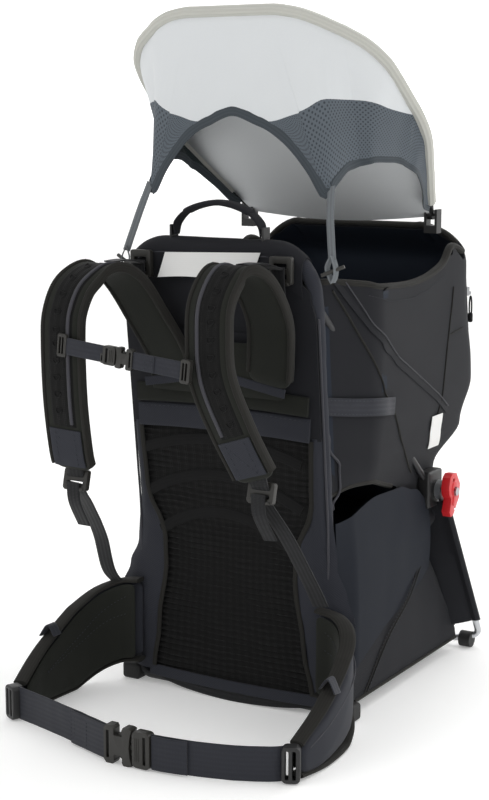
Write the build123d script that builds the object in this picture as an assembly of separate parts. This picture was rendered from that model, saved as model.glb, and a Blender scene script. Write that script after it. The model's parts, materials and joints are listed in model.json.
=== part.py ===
"""Framed child carrier backpack, standing on its kickstand: one STEP file for each separate piece.

The working frame is in millimetres. X runs across the carrier, with the wearer's left at +X. Y runs
from the wearer's side (negative) to the child's side (positive), with zero at the bottom hem of the
back panel. Z is the height above the floor. save() moves every piece by -MID_Y, so the written
pieces have their origin on the floor, at the middle of the whole carrier.
"""
from build123d import *
import math
import os

# Driving dimensions
MID_Y = 99.0                # middle of the carrier's depth in the working frame
FRAME_TUBE = 14.0           # main frame tube, outside
FRAME_WALL = 1.5
FRAME_HALF = 141.0          # centre line of the side tubes
FRAME_TOP = 622.0           # centre line of the top run
BASE_HALF = 172.0           # centre line of the flared bottom corners
BASE_BAR_Z = 10.0
TUBE_SET = 12.0             # frame tube centre behind the front of the back panel
LEAN_START = 250.0          # height at which the back starts to lean towards the wearer
LEAN = 0.105                # slope of that lean
BASE_FLARE = 0.06
STRUT = 12.0
CROSS_TUBE = 10.0
FRAME_BENDS = [22, 80, 200, 50, 50, 200, 80, 22]
UPPER_STRUT_Z = 556.0       # where the side struts leave the frame tube
LOWER_STRUT_Z = 96.0
STRUT_X = 157.0             # their lower ends, beside the kickstand pivot

PIVOT_Y = 300.0             # kickstand pivot and latch
PIVOT_Z = 262.0
PIN = 8.0
PIN_CLEARANCE = 0.05        # radial, in the pieces that turn on the pin
LATCH_X = (184.5, 198.0)    # outside the kickstand, as far as the pin's head
KICK_TUBE = 10.0
KICK_WALL = 1.0
FOOT_RADIUS = 12.0

SHADE_Y = 305.0             # sunshade pivot
SHADE_Z = 660.0
SHADE_HALF = 150.0
SHADE_PITCH = 41.5          # degrees above level
HOOP_WIRE = 7.0
SHADE_CLOTH = 2.0
HOOP_CORNERS = [(SHADE_HALF, 0), (205, 185), (190, 340), (95, 412)]
HOOP_BENDS = [200, 110, 110]
SKIRT_PITCH = 8.7           # the shade's lower edge
SKIRT_CORNERS = [(149, 0), (152, 110), (150, 210), (142, 296)]
SKIRT_BENDS = [200, 110, 12]

COCKPIT_WALL = 10.0
REAR_CORNER = 60.0
# height, half width at the sides, rear wall's Y
COCKPIT_STATIONS = [
    (222, 150, 338),
    (256, 152, 350),
    (290, 158, 380),
    (346, 170, 445),
    (410, 177, 468),
    (586, 183, 426),
    (672, 178, 350),
]
ZIP_TURN = 42.0             # the zip's place round the rear corner, in degrees from straight back
ZIP_BOTTOM = 414.0
ZIP_TOP = 574.0
ZIP_REST = 540.0            # the slider's height

PAD_WIDTH = 66.0
PAD_THICK = 14.0
LOWER_WEBBING = 24.0
BELT_WEBBING = 45.0
STERNUM_WEBBING = 22.0
WEBBING_THICK = 2.5
STERNUM_CENTRE = (-60, -177, 499)
STERNUM_TILT = 5.9
BUCKLE_Y = -263.0
GAP = 0.5                   # clearance between neighbouring pieces

os.makedirs("parts", exist_ok=True)


# Shared shapes

def save(name, shape):
    """Write one piece, with the origin moved to the middle of the carrier."""
    export_step(Pos(0, -MID_Y, 0) * shape, f"parts/{name}.step")


def mirrored(shape):
    return mirror(shape, about=Plane.YZ)


def pair(shape):
    """The piece and its mirror image on the other side, as one group."""
    return Compound(children=[*shape.solids(), *mirrored(shape).solids()])


def panel_y(z):
    """Front face of the back panel at a height: flared at the base, leaning above the waist."""
    return BASE_FLARE * max(0.0, 110 - z) - LEAN * max(0.0, z - LEAN_START)


def tube_y(z):
    return panel_y(z) + TUBE_SET


def rod(points, bends, outer, inner=0.0):
    """A round rod or tube along straight runs joined by tangent bends."""
    if len(points) == 2:
        path = Line(*points)
    else:
        path = FilletPolyline(*points, radius=bends)
    start = Plane(origin=path @ 0, z_dir=path % 0)
    body = sweep(start * Circle(outer / 2), path=path)
    if inner:
        body -= sweep(start * Circle(inner / 2), path=path)
    return body


def ribbon(stations, across, thickness, level=False):
    """A flat band or pad through stations of (point, width), its width along the across vector."""
    points = [Vector(*point) for point, _ in stations]
    across = Vector(*across)
    sections = []
    for index, (_, width) in enumerate(stations):
        ahead = points[min(index + 1, len(points) - 1)]
        behind = points[max(index - 1, 0)]
        along = ahead - behind
        if level:
            along = Vector(along.X, along.Y, 0)
        along = along.normalized()
        side = (across - along * across.dot(along)).normalized()
        section = Plane(origin=points[index], x_dir=side, z_dir=along)
        sections.append(section * Rectangle(width, thickness))
    return loft(sections, ruled=True)


def even(points, width):
    return [(point, width) for point in points]


def block(x, y, z, radius=0.0):
    """A box between three pairs of limits, with rounded edges."""
    centre = [(low + high) / 2 for low, high in (x, y, z)]
    size = [high - low for low, high in (x, y, z)]
    body = Pos(*centre) * Box(*size)
    if radius:
        body = fillet(body.edges(), radius)
    return body


def side_prism(outline, x, radius=0.0):
    """An outline in Y and Z, extruded between two X limits."""
    face = Plane(origin=(x[0], 0, 0), x_dir=(0, 1, 0), z_dir=(1, 0, 0)) * make_face(
        Polyline(*outline, close=True))
    if radius:
        face = fillet(face.vertices(), radius)
    return extrude(face, amount=x[1] - x[0])


def front_prism(face, y):
    """A face drawn in X and Z, extruded between two Y limits."""
    plane = Plane(origin=(0, y[1], 0), x_dir=(1, 0, 0), z_dir=(0, -1, 0))
    return extrude(plane * face, amount=y[1] - y[0])


def pin_x(y, z, radius, x):
    return Pos((x[0] + x[1]) / 2, y, z) * Rot(0, 90, 0) * Cylinder(radius, x[1] - x[0])


def bent_panel(stations, front, thickness):
    """A sheet that follows the back's lean, through stations of (height, half width)."""
    sections = []
    for z, half in stations:
        middle = panel_y(z) + front + thickness / 2
        sections.append(Pos(0, middle, z) * Rectangle(2 * half, thickness))
    return loft(sections, ruled=True)


# Main frame

def frame_path():
    corners = [
        (1, BASE_BAR_Z), (BASE_HALF, BASE_BAR_Z), (FRAME_HALF, 120), (FRAME_HALF, LEAN_START),
        (FRAME_HALF, FRAME_TOP), (-FRAME_HALF, FRAME_TOP), (-FRAME_HALF, LEAN_START),
        (-FRAME_HALF, 120), (-BASE_HALF, BASE_BAR_Z), (-1, BASE_BAR_Z),
    ]
    return [(x, tube_y(z), z) for x, z in corners]


def upper_strut(outer):
    """The strut from the pivot plate up to the frame tube, on the wearer's left."""
    top = (FRAME_HALF + 3, tube_y(UPPER_STRUT_Z) + 2, UPPER_STRUT_Z)
    return rod([top, (STRUT_X, PIVOT_Y - 8, PIVOT_Z + 8)], [], outer)


def make_frame():
    """The bent tube, its two cross tubes, the side struts and what stands on the floor."""
    tube = rod(frame_path(), FRAME_BENDS, FRAME_TUBE, FRAME_TUBE - 2 * FRAME_WALL)
    filled = rod(frame_path(), FRAME_BENDS, FRAME_TUBE)
    save("main_frame_tube", tube)

    for name, z in (("lower_cross_tube", 150), ("upper_cross_tube", 430)):
        cross = rod([(-FRAME_HALF, tube_y(z), z), (FRAME_HALF, tube_y(z), z)], [], CROSS_TUBE)
        save(name, cross - filled)

    low_end = (FRAME_HALF + 9, tube_y(LOWER_STRUT_Z) + 2, LOWER_STRUT_Z)
    upper = upper_strut(CROSS_TUBE)
    lower = rod([low_end, (STRUT_X, PIVOT_Y - 8, PIVOT_Z - 10)], [], STRUT)
    plate = block((148, 168), (276, 322), (236, 290), 4)
    plate -= pin_x(PIVOT_Y, PIVOT_Z, PIN / 2, (140, 180))
    upper -= plate + filled + lower
    lower -= plate + filled
    pin = pin_x(PIVOT_Y, PIVOT_Z, PIN / 2, (150, 199))
    pin += pin_x(PIVOT_Y, PIVOT_Z, 6, (199, 202))
    upper -= pin
    lower -= pin
    save("upper_struts", pair(upper))
    save("lower_struts", pair(lower))
    save("pivot_block_left", plate)
    save("pivot_block_right", mirrored(plate))
    save("pivot_pins", pair(pin))

    boot = block((158, 187), (4, 31), (0, 24), 5) - filled
    save("front_foot_left", boot)
    save("front_foot_right", mirrored(boot))
    clamp = pin_x(tube_y(BASE_BAR_Z), BASE_BAR_Z, 10, (64, 76)) - filled
    save("hem_clamps", pair(clamp))


# Kickstand and its latches

def make_kickstand():
    """The rear U of tube that turns on the pins, with a rubber foot at each corner."""
    half = [(175, PIVOT_Y, PIVOT_Z), (199, 400, 20), (165, 388, 12)]
    path = half + [(-x, y, z) for x, y, z in reversed(half)]
    bends = [10, 20, 20, 10]
    hub = pin_x(PIVOT_Y, PIVOT_Z, 14, (171, 180))
    bore = pin_x(PIVOT_Y, PIVOT_Z, PIN / 2 + PIN_CLEARANCE, (160, 190))
    tube = rod(path, bends, KICK_TUBE, KICK_TUBE - 2 * KICK_WALL)
    tube = tube + hub + mirrored(hub) - bore - mirrored(bore)
    save("kickstand_tube", tube)
    foot = pin_x(392, FOOT_RADIUS, FOOT_RADIUS, (173, 191)) - rod(path, bends, KICK_TUBE)
    save("rear_foot_left", foot)
    save("rear_foot_right", mirrored(foot))


def make_latches():
    """The thumb levers that free the kickstand, each on the end of a pivot pin."""
    outline = [
        (284, 284), (306, 288), (319, 270), (316, 250), (304, 238), (290, 228), (283, 235),
        (289, 250), (281, 262),
    ]
    lever = side_prism(outline, LATCH_X, 2.5)
    lever -= pin_x(PIVOT_Y, PIVOT_Z, PIN / 2 + PIN_CLEARANCE, (180, 200))
    save("release_latch_left", lever)
    save("release_latch_right", mirrored(lever))
    spring = pin_x(PIVOT_Y, PIVOT_Z, 9, (168.3, 169.7)) - pin_x(PIVOT_Y, PIVOT_Z, 5, (160, 175))
    save("latch_springs", pair(spring))


# Cloth parts on the frame

def make_back():
    """The wearer's side: mesh below, padded cloth above, the flap over the top tube and its tag."""
    save("mesh_back_panel", bent_panel([(30, 137), (110, 141), (250, 146), (384, 146)], 0, 4))
    save("upper_back_panel", bent_panel([(386, 146), (540, 146), (596, 126)], 0, 4))
    flap = side_prism([
        (-41, 597), (-36, 597), (-36, 631), (-18, 631), (-18, 612), (-13, 612), (-13, 636),
        (-41, 636)], (-118, 118))
    save("top_flap", flap)
    save("care_tag", block((-92, 56), (-44, -43), (576, 616)))
    save("drool_pad", block((-105, 105), (-1, 22), (558, 628), 8))


def cockpit_section(z, side, rear, inset):
    """One level outline of the cockpit: narrow at the frame, wide at the sides, rounded behind."""
    front = panel_y(z) + 20 + inset
    corners = [
        (FRAME_HALF - 1 - inset, front),
        (side - inset, front + 90),
        (side - 12 - inset, rear - inset),
    ]
    outline = corners + [(-x, y) for x, y in reversed(corners)]
    bends = [12, 80, REAR_CORNER - inset, REAR_CORNER - inset, 80, 12]
    wire = FilletPolyline(*outline, radius=bends, close=True)
    return Pos(0, 0, z) * make_face(wire)


def make_cockpit():
    """The child's compartment: padded walls, a low rim at the sides, a high one behind, and an
    arched opening under each side wall for the legs."""
    outer = loft([cockpit_section(*station, 0) for station in COCKPIT_STATIONS], ruled=True)
    bottom, *between, top = COCKPIT_STATIONS
    room = [(bottom[0] + COCKPIT_WALL, *bottom[1:]), *between, (top[0] + 1, *top[1:])]
    inner = loft([cockpit_section(*station, COCKPIT_WALL) for station in room], ruled=True)
    rim = side_prism([
        (-90, 590), (20, 588), (96, 576), (237, 576), (300, 590), (340, 622), (372, 660),
        (500, 664), (500, 760), (-90, 760)], (-260, 260))
    legs = side_prism([
        (-60, 276), (26, 306), (114, 307), (193, 285), (237, 250), (276, 233), (276, 200),
        (-60, 200)], (-260, 260))
    pivot_room = block((140, 200), (270, 328), (230, 296))
    walls = outer - inner - rim - legs - pivot_room - mirrored(pivot_room)
    near = upper_strut(CROSS_TUBE + 4)
    walls = walls - near - mirrored(near)
    save("cockpit_shell", max(walls.solids(), key=lambda solid: solid.volume))

    bag_side = side_prism([
        (33, 18), (26, 80), (266, 186), (312, 222), (376, 34), (372, 18)], (-190, 190))
    front = make_face(Polyline((-176, 18), (176, 18), (146, 235), (-146, 235), close=True))
    bag = bag_side & front_prism(front, (0, 420))
    room_side = side_prism([
        (37, 21), (30, 79), (267, 183), (309, 215), (371, 34), (369, 21)], (-190, 190))
    room_front = make_face(Polyline((-172, 20), (172, 20), (142, 232), (-142, 232), close=True))
    save("storage_compartment", bag - (room_side & front_prism(room_front, (0, 420))))

    band = ribbon(even([(152, 5, 426), (185, 92, 417), (187, 176, 404)], 26), (0, 0, 1), 2)
    save("side_bands", pair(band))


def corner_point(z, out):
    """A point off the cockpit's rounded rear corner, on the wearer's left, at a height."""
    low = COCKPIT_STATIONS[4]
    high = COCKPIT_STATIONS[5]
    share = (z - low[0]) / (high[0] - low[0])
    side = low[1] + share * (high[1] - low[1])
    rear = low[2] + share * (high[2] - low[2])
    turn = math.radians(ZIP_TURN)
    reach = REAR_CORNER + out
    x = side - 12 - REAR_CORNER + reach * math.sin(turn)
    return (x, rear - REAR_CORNER + reach * math.cos(turn), z)


def make_zip():
    """The zip down the rear corner of the pack, its slider and the cord pull that hangs from it."""
    turn = math.radians(ZIP_TURN)
    across = (math.cos(turn), -math.sin(turn), 0)
    ends = [corner_point(ZIP_BOTTOM, 3.5), corner_point(ZIP_TOP, 3.5)]
    save("zipper_track", ribbon(even(ends, 12), across, 2))
    seat = Pos(*corner_point(ZIP_REST, 7.5)) * Rot(0, 0, -ZIP_TURN)
    slider = seat * Box(9, 4, 13)
    slider += seat * Pos(0, 3.5, -3) * Box(5, 4, 5)
    save("zipper_slider", slider)
    hang = Pos(*corner_point(ZIP_REST - 6, 13.5)) * Rot(0, 0, -ZIP_TURN)
    loop = Rot(90, 0, 0) * (SlotOverall(40, 10, rotation=90) - SlotOverall(35, 5, rotation=90))
    pull = hang * Pos(0, 0, -22) * extrude(loop, amount=2, both=True)
    save("zipper_pull", pull)


# Sunshade

def shade_plane(z_drop, pitch):
    """The plane of a shade outline: X across, Y forward and up from the pivot line."""
    angle = math.radians(pitch)
    forward = Vector(0, -math.cos(angle), math.sin(angle))
    up = Vector(1, 0, 0).cross(forward)
    return Plane(origin=(0, SHADE_Y, SHADE_Z - z_drop), x_dir=(1, 0, 0), z_dir=up)


def closed_outline(corners, bends, inset):
    half = [(x - inset, max(y, inset + 3) if index == 0 else y - inset)
            for index, (x, y) in enumerate(corners)]
    outline = half + [(-x, y) for x, y in reversed(half)]
    radii = [4] + bends + bends[::-1] + [4]
    return make_face(FilletPolyline(*outline, radius=radii, close=True))


def shade_body(inset, drop):
    """The space under the shade, from the hoop down to the skirt's lower edge."""
    top_outline = closed_outline(HOOP_CORNERS, HOOP_BENDS, inset + HOOP_WIRE / 2)
    top = shade_plane(inset * 1.4, SHADE_PITCH) * top_outline
    low = shade_plane(6 + drop, SKIRT_PITCH) * closed_outline(SKIRT_CORNERS, SKIRT_BENDS, inset)
    return loft([top, low], ruled=True)


def make_sunshade():
    """The wire hoop on its two pivots, the cloth that it holds out, and the tie-down cords."""
    plane = shade_plane(0, SHADE_PITCH)
    half = [plane.from_local_coords(Vector(x, y, 0)) for x, y in HOOP_CORNERS]
    path = half + [Vector(-p.X, p.Y, p.Z) for p in reversed(half)]
    wire = rod(path, HOOP_BENDS + HOOP_BENDS[::-1], HOOP_WIRE)
    eye = pin_x(SHADE_Y, SHADE_Z, 7, (SHADE_HALF - 3.5, SHADE_HALF + 3.5))
    bore = pin_x(SHADE_Y, SHADE_Z, 2 + PIN_CLEARANCE, (SHADE_HALF - 10, SHADE_HALF + 10))
    save("shade_hoop", wire + eye + mirrored(eye) - bore - mirrored(bore))

    front_arch = Pos(0, 700) * Ellipse(128, 106)
    side_cut = side_prism([
        (22, 640), (26, 702), (52, 730), (95, 745), (150, 743), (205, 722), (245, 694), (272, 668),
        (272, 640)], (-260, 260))
    feet = block((SHADE_HALF - 12, SHADE_HALF + 12), (286, 330), (630, 682))
    cloth = shade_body(0, 0) - shade_body(SHADE_CLOTH, 60) - front_prism(front_arch, (-60, 62))
    cloth = cloth - side_cut - feet - mirrored(feet)
    cloth -= wire
    save("shade_canopy", max(cloth.solids(), key=lambda solid: solid.volume))

    cord = ribbon(even([(143, 9, 690), (159, -13, 614)], 12), (1, 0, 0), 1.5)
    save("shade_cords", pair(cord))

    socket = block((142, 162), (297, 313), (634, 645))
    for x in ((142, 145.5), (158.5, 162)):
        socket += block(x, (297, 313), (640, 668))
    socket += pin_x(SHADE_Y, SHADE_Z, 2, (144, 160))
    save("shade_sockets", pair(socket))
    bar = rod([(147, -19, 599), (175, -9, 611)], [], 5)
    save("shade_toggles", pair(bar))


# Harness

def make_harness():
    """The shoulder harness: a yoke that slides on the back, and two pads that arch over."""
    save("yoke_plate", bent_panel([(440, 100), (506, 108)], -8, 6))
    left = [
        (84, -42, 456), (91, -50, 494), (97, -65, 546), (88, -94, 596), (73, -124, 608),
        (64, -148, 574), (64, -155, 530), (71, -158, 477), (93, -148, 415), (116, -126, 350),
    ]
    right = [
        (-64, -42, 456), (-68, -50, 490), (-86, -67, 536), (-106, -92, 586), (-126, -118, 602),
        (-146, -144, 584), (-155, -158, 550), (-153, -166, 510), (-151, -166, 434),
        (-154, -152, 366), (-155, -142, 338),
    ]
    pad_left = ribbon(even(left, PAD_WIDTH), (1, 0, 0), PAD_THICK)
    pad_right = ribbon(even(right, PAD_WIDTH), (1, 0, 0), PAD_THICK)
    save("shoulder_pad_left", pad_left)
    save("shoulder_pad_right", pad_right)

    lifter_left = ribbon(even([(87, -106, 622), (105, -60, 606)], 20), (1, 0, 0), 2)
    lifter_right = ribbon(even([(-115, -112, 618), (-107, -60, 606)], 20), (1, 0, 0), 2)
    save("load_lifter_straps", Compound(children=[
        *(lifter_left - pad_left).solids(), *(lifter_right - pad_right).solids()]))
    for name, side in (("load_lifter_buckle_left", 1), ("load_lifter_buckle_right", -1)):
        frame_bar = block((91, 123), (-56, -46), (588, 624), 2)
        frame_bar -= block((98, 116), (-60, -40), (594, 602))
        frame_bar -= block((98, 116), (-60, -40), (607, 616))
        save(name, frame_bar if side > 0 else mirrored(frame_bar))

    down_left = [(118, -113.4, 316.6), (134, -84, 270), (146, -46, 206), (154, -26, 166)]
    down_right = [(-158, -130, 306), (-168, -98, 276), (-177, -58, 226), (-184, -30, 166)]
    save("lower_straps", Compound(children=[
        ribbon(even(down_left, LOWER_WEBBING), (1, 0, 0), WEBBING_THICK),
        ribbon(even(down_right, LOWER_WEBBING), (1, 0, 0), WEBBING_THICK)]))
    places = (("lower_adjuster_left", (118, -117.6, 332.4)), ("lower_adjuster_right", (-157, -136, 322)))
    for name, centre in places:
        lock = Box(36, 8, 24) - Pos(0, 0, 5) * Box(25, 12, 5) - Pos(0, 0, -4) * Box(25, 12, 5)
        lock = Pos(*centre) * Rot(-14, 0, 0) * lock
        save(name, lock)


def buckle_socket(length, height, thick):
    """A side-release buckle's socket, with its mouth at x = 0 and its body towards +X."""
    shell = Pos(length / 2, 0, 0) * Box(length, thick, height)
    shell = fillet(shell.edges().filter_by(Axis.Y), height * 0.14)
    shell -= Pos(length * 0.4 - 1, 0, 0) * Box(length * 0.8 + 2, thick * 0.56, height * 0.72)
    for side in (-1, 1):
        shell -= Pos(length * 0.5, 0, side * height * 0.5) * Box(length * 0.36, thick * 0.56, height * 0.36)
    return shell


def buckle_plug(length, height, thick, reach):
    """The plug for that socket: a body behind x = 0 and three tongues ahead of it."""
    body = Pos(-length / 2 - GAP, 0, 0) * Box(length, thick, height * 0.94)
    body = fillet(body.edges().filter_by(Axis.Y), height * 0.12)
    for offset in (-0.26, 0, 0.26):
        tongue = Box(reach + 1, thick * 0.46, height * 0.13)
        body += Pos((reach - 1) / 2 - GAP, 0, offset * height) * tongue
    return body


def make_sternum():
    """The chest strap: webbing between two rail sliders, with a small side-release buckle."""
    place = Pos(*STERNUM_CENTRE) * Rot(0, STERNUM_TILT, 0)
    socket = place * buckle_socket(26, 26, 9)
    plug = place * buckle_plug(19, 26, 9, 17)
    save("sternum_socket", socket)
    save("sternum_plug", plug)
    web_left = place * Pos(63, 0, 0) * Box(71, 2, STERNUM_WEBBING)
    web_right = place * Pos(-50, 0, 0) * Box(59, 2, STERNUM_WEBBING)
    save("sternum_webbing_left", web_left)
    save("sternum_webbing_right", web_right)
    slider_left = place * Pos(105, 0, 0) * Box(12, 9, 30)
    slider_right = place * Pos(-86, 0, 0) * Box(12, 5, 30)
    save("sternum_sliders", Compound(children=[*slider_left.solids(), *slider_right.solids()]))


# Hip belt

def make_belt():
    """The padded wings, which rest on the floor in front, and the webbing that joins them."""
    wing = ribbon([
        ((138, -11, 98), 124), ((190, -9, 92), 124), ((222, -28, 80), 124), ((234, -70, 61), 120),
        ((234, -142, 41), 80), ((224, -199, 25), 48)], (0, 0, 1), 17, level=True)
    save("hip_wing_left", wing)
    save("hip_wing_right", mirrored(wing))
    slider = block((213, 236), (-219, -201), (0, 48), 3)
    save("belt_sliders", pair(slider))
    web_left = [(212, -213, 24.5), (170, -236, 24.5), (48, -262.5, 24.5)]
    web_right = [(-212, -211, 24.5), (-156, -218, 24.5), (-39, -256, 24.5), (-23, -261, 24.5)]
    save("belt_webbing_left", ribbon(even(web_left, BELT_WEBBING), (0, 0, 1), WEBBING_THICK, level=True))
    save("belt_webbing_right", ribbon(even(web_right, BELT_WEBBING), (0, 0, 1), WEBBING_THICK, level=True))
    place = Pos(20, BUCKLE_Y, 25)
    save("belt_socket", place * mirror(buckle_socket(42, 50, 14), about=Plane.YZ))
    save("belt_plug", place * mirror(buckle_plug(26, 50, 14, 26), about=Plane.YZ))


# Grab handle and the child's seat

def make_handle():
    """The webbing arch over the top tube and the two sewn tabs that it turns on."""
    arch = [(-66, 649), (-62, 663), (-42, 679), (0, 687), (42, 679), (62, 663), (66, 649)]
    points = [(x, -28, z) for x, z in arch]
    save("grab_handle", ribbon(even(points, 22), (0, 1, 0), 4))
    save("handle_tabs", pair(block((69, 72), (-37, -19), (636.5, 658), 1)))


def make_seat():
    """The child's seat: a padded saddle and back that move up and down together, with a harness."""
    save("seat_pad", block((-78, 78), (110, 344), (286, 310), 9))
    save("seat_back_pad", block((-84, 84), (346, 364), (312, 500), 7))
    straps = []
    for side in (-1, 1):
        points = [(side * 46, 343, 486), (side * 40, 300, 470), (side * 14, 262, 402)]
        straps.append(ribbon(even(points, 20), (1, 0, 0), 2).solid())
    crotch = ribbon(even([(0, 254, 378), (0, 200, 330), (0, 180, 313)], 20), (1, 0, 0), 2)
    save("child_harness_straps", Compound(children=[*straps, crotch.solid()]))
    save("child_buckle", block((-24, 24), (252, 262), (380, 400), 3))


make_frame()
make_kickstand()
make_latches()
make_back()
make_cockpit()
make_zip()
make_sunshade()
make_harness()
make_sternum()
make_belt()
make_handle()
make_seat()
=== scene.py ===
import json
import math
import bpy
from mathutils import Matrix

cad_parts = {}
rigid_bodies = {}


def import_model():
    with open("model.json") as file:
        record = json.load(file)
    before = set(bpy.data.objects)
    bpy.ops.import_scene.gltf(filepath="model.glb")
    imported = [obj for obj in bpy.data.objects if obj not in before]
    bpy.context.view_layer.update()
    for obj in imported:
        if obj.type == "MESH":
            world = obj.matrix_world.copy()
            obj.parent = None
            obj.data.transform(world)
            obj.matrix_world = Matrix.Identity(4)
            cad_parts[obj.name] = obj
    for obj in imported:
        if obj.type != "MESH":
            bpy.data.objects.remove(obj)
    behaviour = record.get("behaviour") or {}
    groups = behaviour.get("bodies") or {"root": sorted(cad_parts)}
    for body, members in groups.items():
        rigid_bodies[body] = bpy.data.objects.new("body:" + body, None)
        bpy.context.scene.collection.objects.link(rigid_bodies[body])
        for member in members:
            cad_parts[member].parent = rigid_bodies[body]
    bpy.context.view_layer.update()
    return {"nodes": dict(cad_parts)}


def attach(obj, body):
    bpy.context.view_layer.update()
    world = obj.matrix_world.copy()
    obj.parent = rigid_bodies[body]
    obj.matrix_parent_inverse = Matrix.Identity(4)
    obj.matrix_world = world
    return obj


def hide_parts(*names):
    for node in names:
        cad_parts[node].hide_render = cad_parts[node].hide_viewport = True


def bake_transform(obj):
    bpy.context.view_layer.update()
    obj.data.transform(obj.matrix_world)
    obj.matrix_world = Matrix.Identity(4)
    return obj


bl_info = {
    "name": "Framed Child Carrier",
    "version": (1, 0, 0),
    "blender": (4, 5, 0),
    "location": "View3D > Sidebar > Child Carrier",
    "description": "Builds a child carrier on a bent tube frame, with sunshade, harness, hip belt and bags",
    "category": "Add Mesh",
}

import bmesh
import bpy
from mathutils import Matrix, Vector, noise

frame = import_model()

# The shapes are drawn in millimetres, with Y zero at the bottom hem of the back panel.
MIDDLE = 99.0               # from there to the middle of the carrier, where the frame has Y zero
LEAN_START = 250.0
LEAN = 0.105                # the back leans towards the wearer above the waist
FLARE = 0.06                # and away below the hip
TUBE_SET = 12.0
PIVOT = (300.0, 262.0)      # Y and Z of the kickstand's pins
SHADE_PIVOT = (305.0, 660.0)
HOOP_PITCH = 41.5
SKIRT_PITCH = 8.7


# ---- Shared shapes ----

def at(x, y, z):
    """A point of the drawing, in the frame's metres."""
    return Vector((x, y - MIDDLE, z)) / 1000


def panel_y(z):
    """Front face of the back panel at a height."""
    return FLARE * max(0.0, 110 - z) - LEAN * max(0.0, z - LEAN_START)


def between(table, x):
    """Smooth reading of a table of (x, value) rows, held at both ends."""
    if x <= table[0][0]:
        return table[0][1]
    for (x0, v0), (x1, v1) in zip(table, table[1:]):
        if x <= x1:
            t = (x - x0) / (x1 - x0)
            return v0 + (v1 - v0) * t * t * (3 - 2 * t)
    return table[-1][1]


def straight(table, x):
    """Straight-line reading of a table of (x, value) rows, held at both ends."""
    if x <= table[0][0]:
        return table[0][1]
    for (x0, v0), (x1, v1) in zip(table, table[1:]):
        if x <= x1:
            return v0 + (v1 - v0) * (x - x0) / (x1 - x0)
    return table[-1][1]


def ripple(point, size, seed=0.0):
    """Soft noise between -1 and 1, for wrinkles about size millimetres long."""
    return noise.noise(Vector(point) / size + Vector((seed, seed * 0.7, -seed)))


def smooth_line(points, count):
    """Evenly spaced points on a smooth curve through the given ones."""
    points = [Vector(p) for p in points]
    if len(points) == 2:
        return [points[0].lerp(points[1], i / (count - 1)) for i in range(count)]
    padded = [2 * points[0] - points[1], *points, 2 * points[-1] - points[-2]]
    fine = []
    for a, b, c, d in zip(padded, padded[1:], padded[2:], padded[3:]):
        for step in range(12):
            t = step / 12
            fine.append(0.5 * (2 * b + (c - a) * t + (2 * a - 5 * b + 4 * c - d) * t * t
                               + (3 * b - a - 3 * c + d) * t ** 3))
    fine.append(points[-1])
    reach = [0.0]
    for p, q in zip(fine, fine[1:]):
        reach.append(reach[-1] + (q - p).length)
    line, k = [], 0
    for i in range(count):
        want = reach[-1] * i / (count - 1)
        while k < len(fine) - 2 and reach[k + 1] < want:
            k += 1
        span = max(reach[k + 1] - reach[k], 1e-9)
        line.append(fine[k].lerp(fine[k + 1], min(1.0, (want - reach[k]) / span)))
    return line


def course(points, across, count=40, level=False):
    """A route for a strap: at each step its point, the way along, the way across and the way out."""
    line = smooth_line(points, count)
    across = Vector(across)
    steps = []
    for i, point in enumerate(line):
        along = line[min(i + 1, count - 1)] - line[max(i - 1, 0)]
        if level:
            along.z = 0
        along.normalize()
        side = (across - along * across.dot(along)).normalized()
        steps.append((point, along, side, along.cross(side)))
    return steps


def skin(name, rows, closed=False, caps=False):
    """A surface over rows of points, with a UV map in metres along and across the rows."""
    n = len(rows[0])
    middle = len(rows) // 2
    along, across = [0.0], [0.0]
    for a, b in zip(rows, rows[1:]):
        along.append(along[-1] + (b[n // 2] - a[n // 2]).length / 1000)
    ring = rows[middle] + ([rows[middle][0]] if closed else [])
    for a, b in zip(ring, ring[1:]):
        across.append(across[-1] + (b - a).length / 1000)
    faces, corners = [], []
    for i in range(len(rows) - 1):
        for j in range(n if closed else n - 1):
            k = (j + 1) % n
            faces.append((i * n + j, i * n + k, (i + 1) * n + k, (i + 1) * n + j))
            corners += [(along[i], across[j]), (along[i], across[j + 1]),
                        (along[i + 1], across[j + 1]), (along[i + 1], across[j])]
    if caps:
        last = (len(rows) - 1) * n
        faces += [tuple(reversed(range(n))), tuple(range(last, last + n))]
        corners += [(0.0, across[j]) for j in reversed(range(n))]
        corners += [(along[-1], across[j]) for j in range(n)]
    mesh = bpy.data.meshes.new(name)
    mesh.from_pydata([at(*p) for row in rows for p in row], [], faces)
    layer = mesh.uv_layers.new(name="UVMap")
    layer.data.foreach_set("uv", [value for corner in corners for value in corner])
    piece = bpy.data.objects.new(name, mesh)
    bpy.context.collection.objects.link(piece)
    if closed and caps:
        outwards(piece)
    return piece


def outwards(piece):
    """Turn every face of a closed shape outwards."""
    shape = bmesh.new()
    shape.from_mesh(piece.data)
    bmesh.ops.recalc_face_normals(shape, faces=shape.faces)
    shape.to_mesh(piece.data)
    shape.free()


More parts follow.
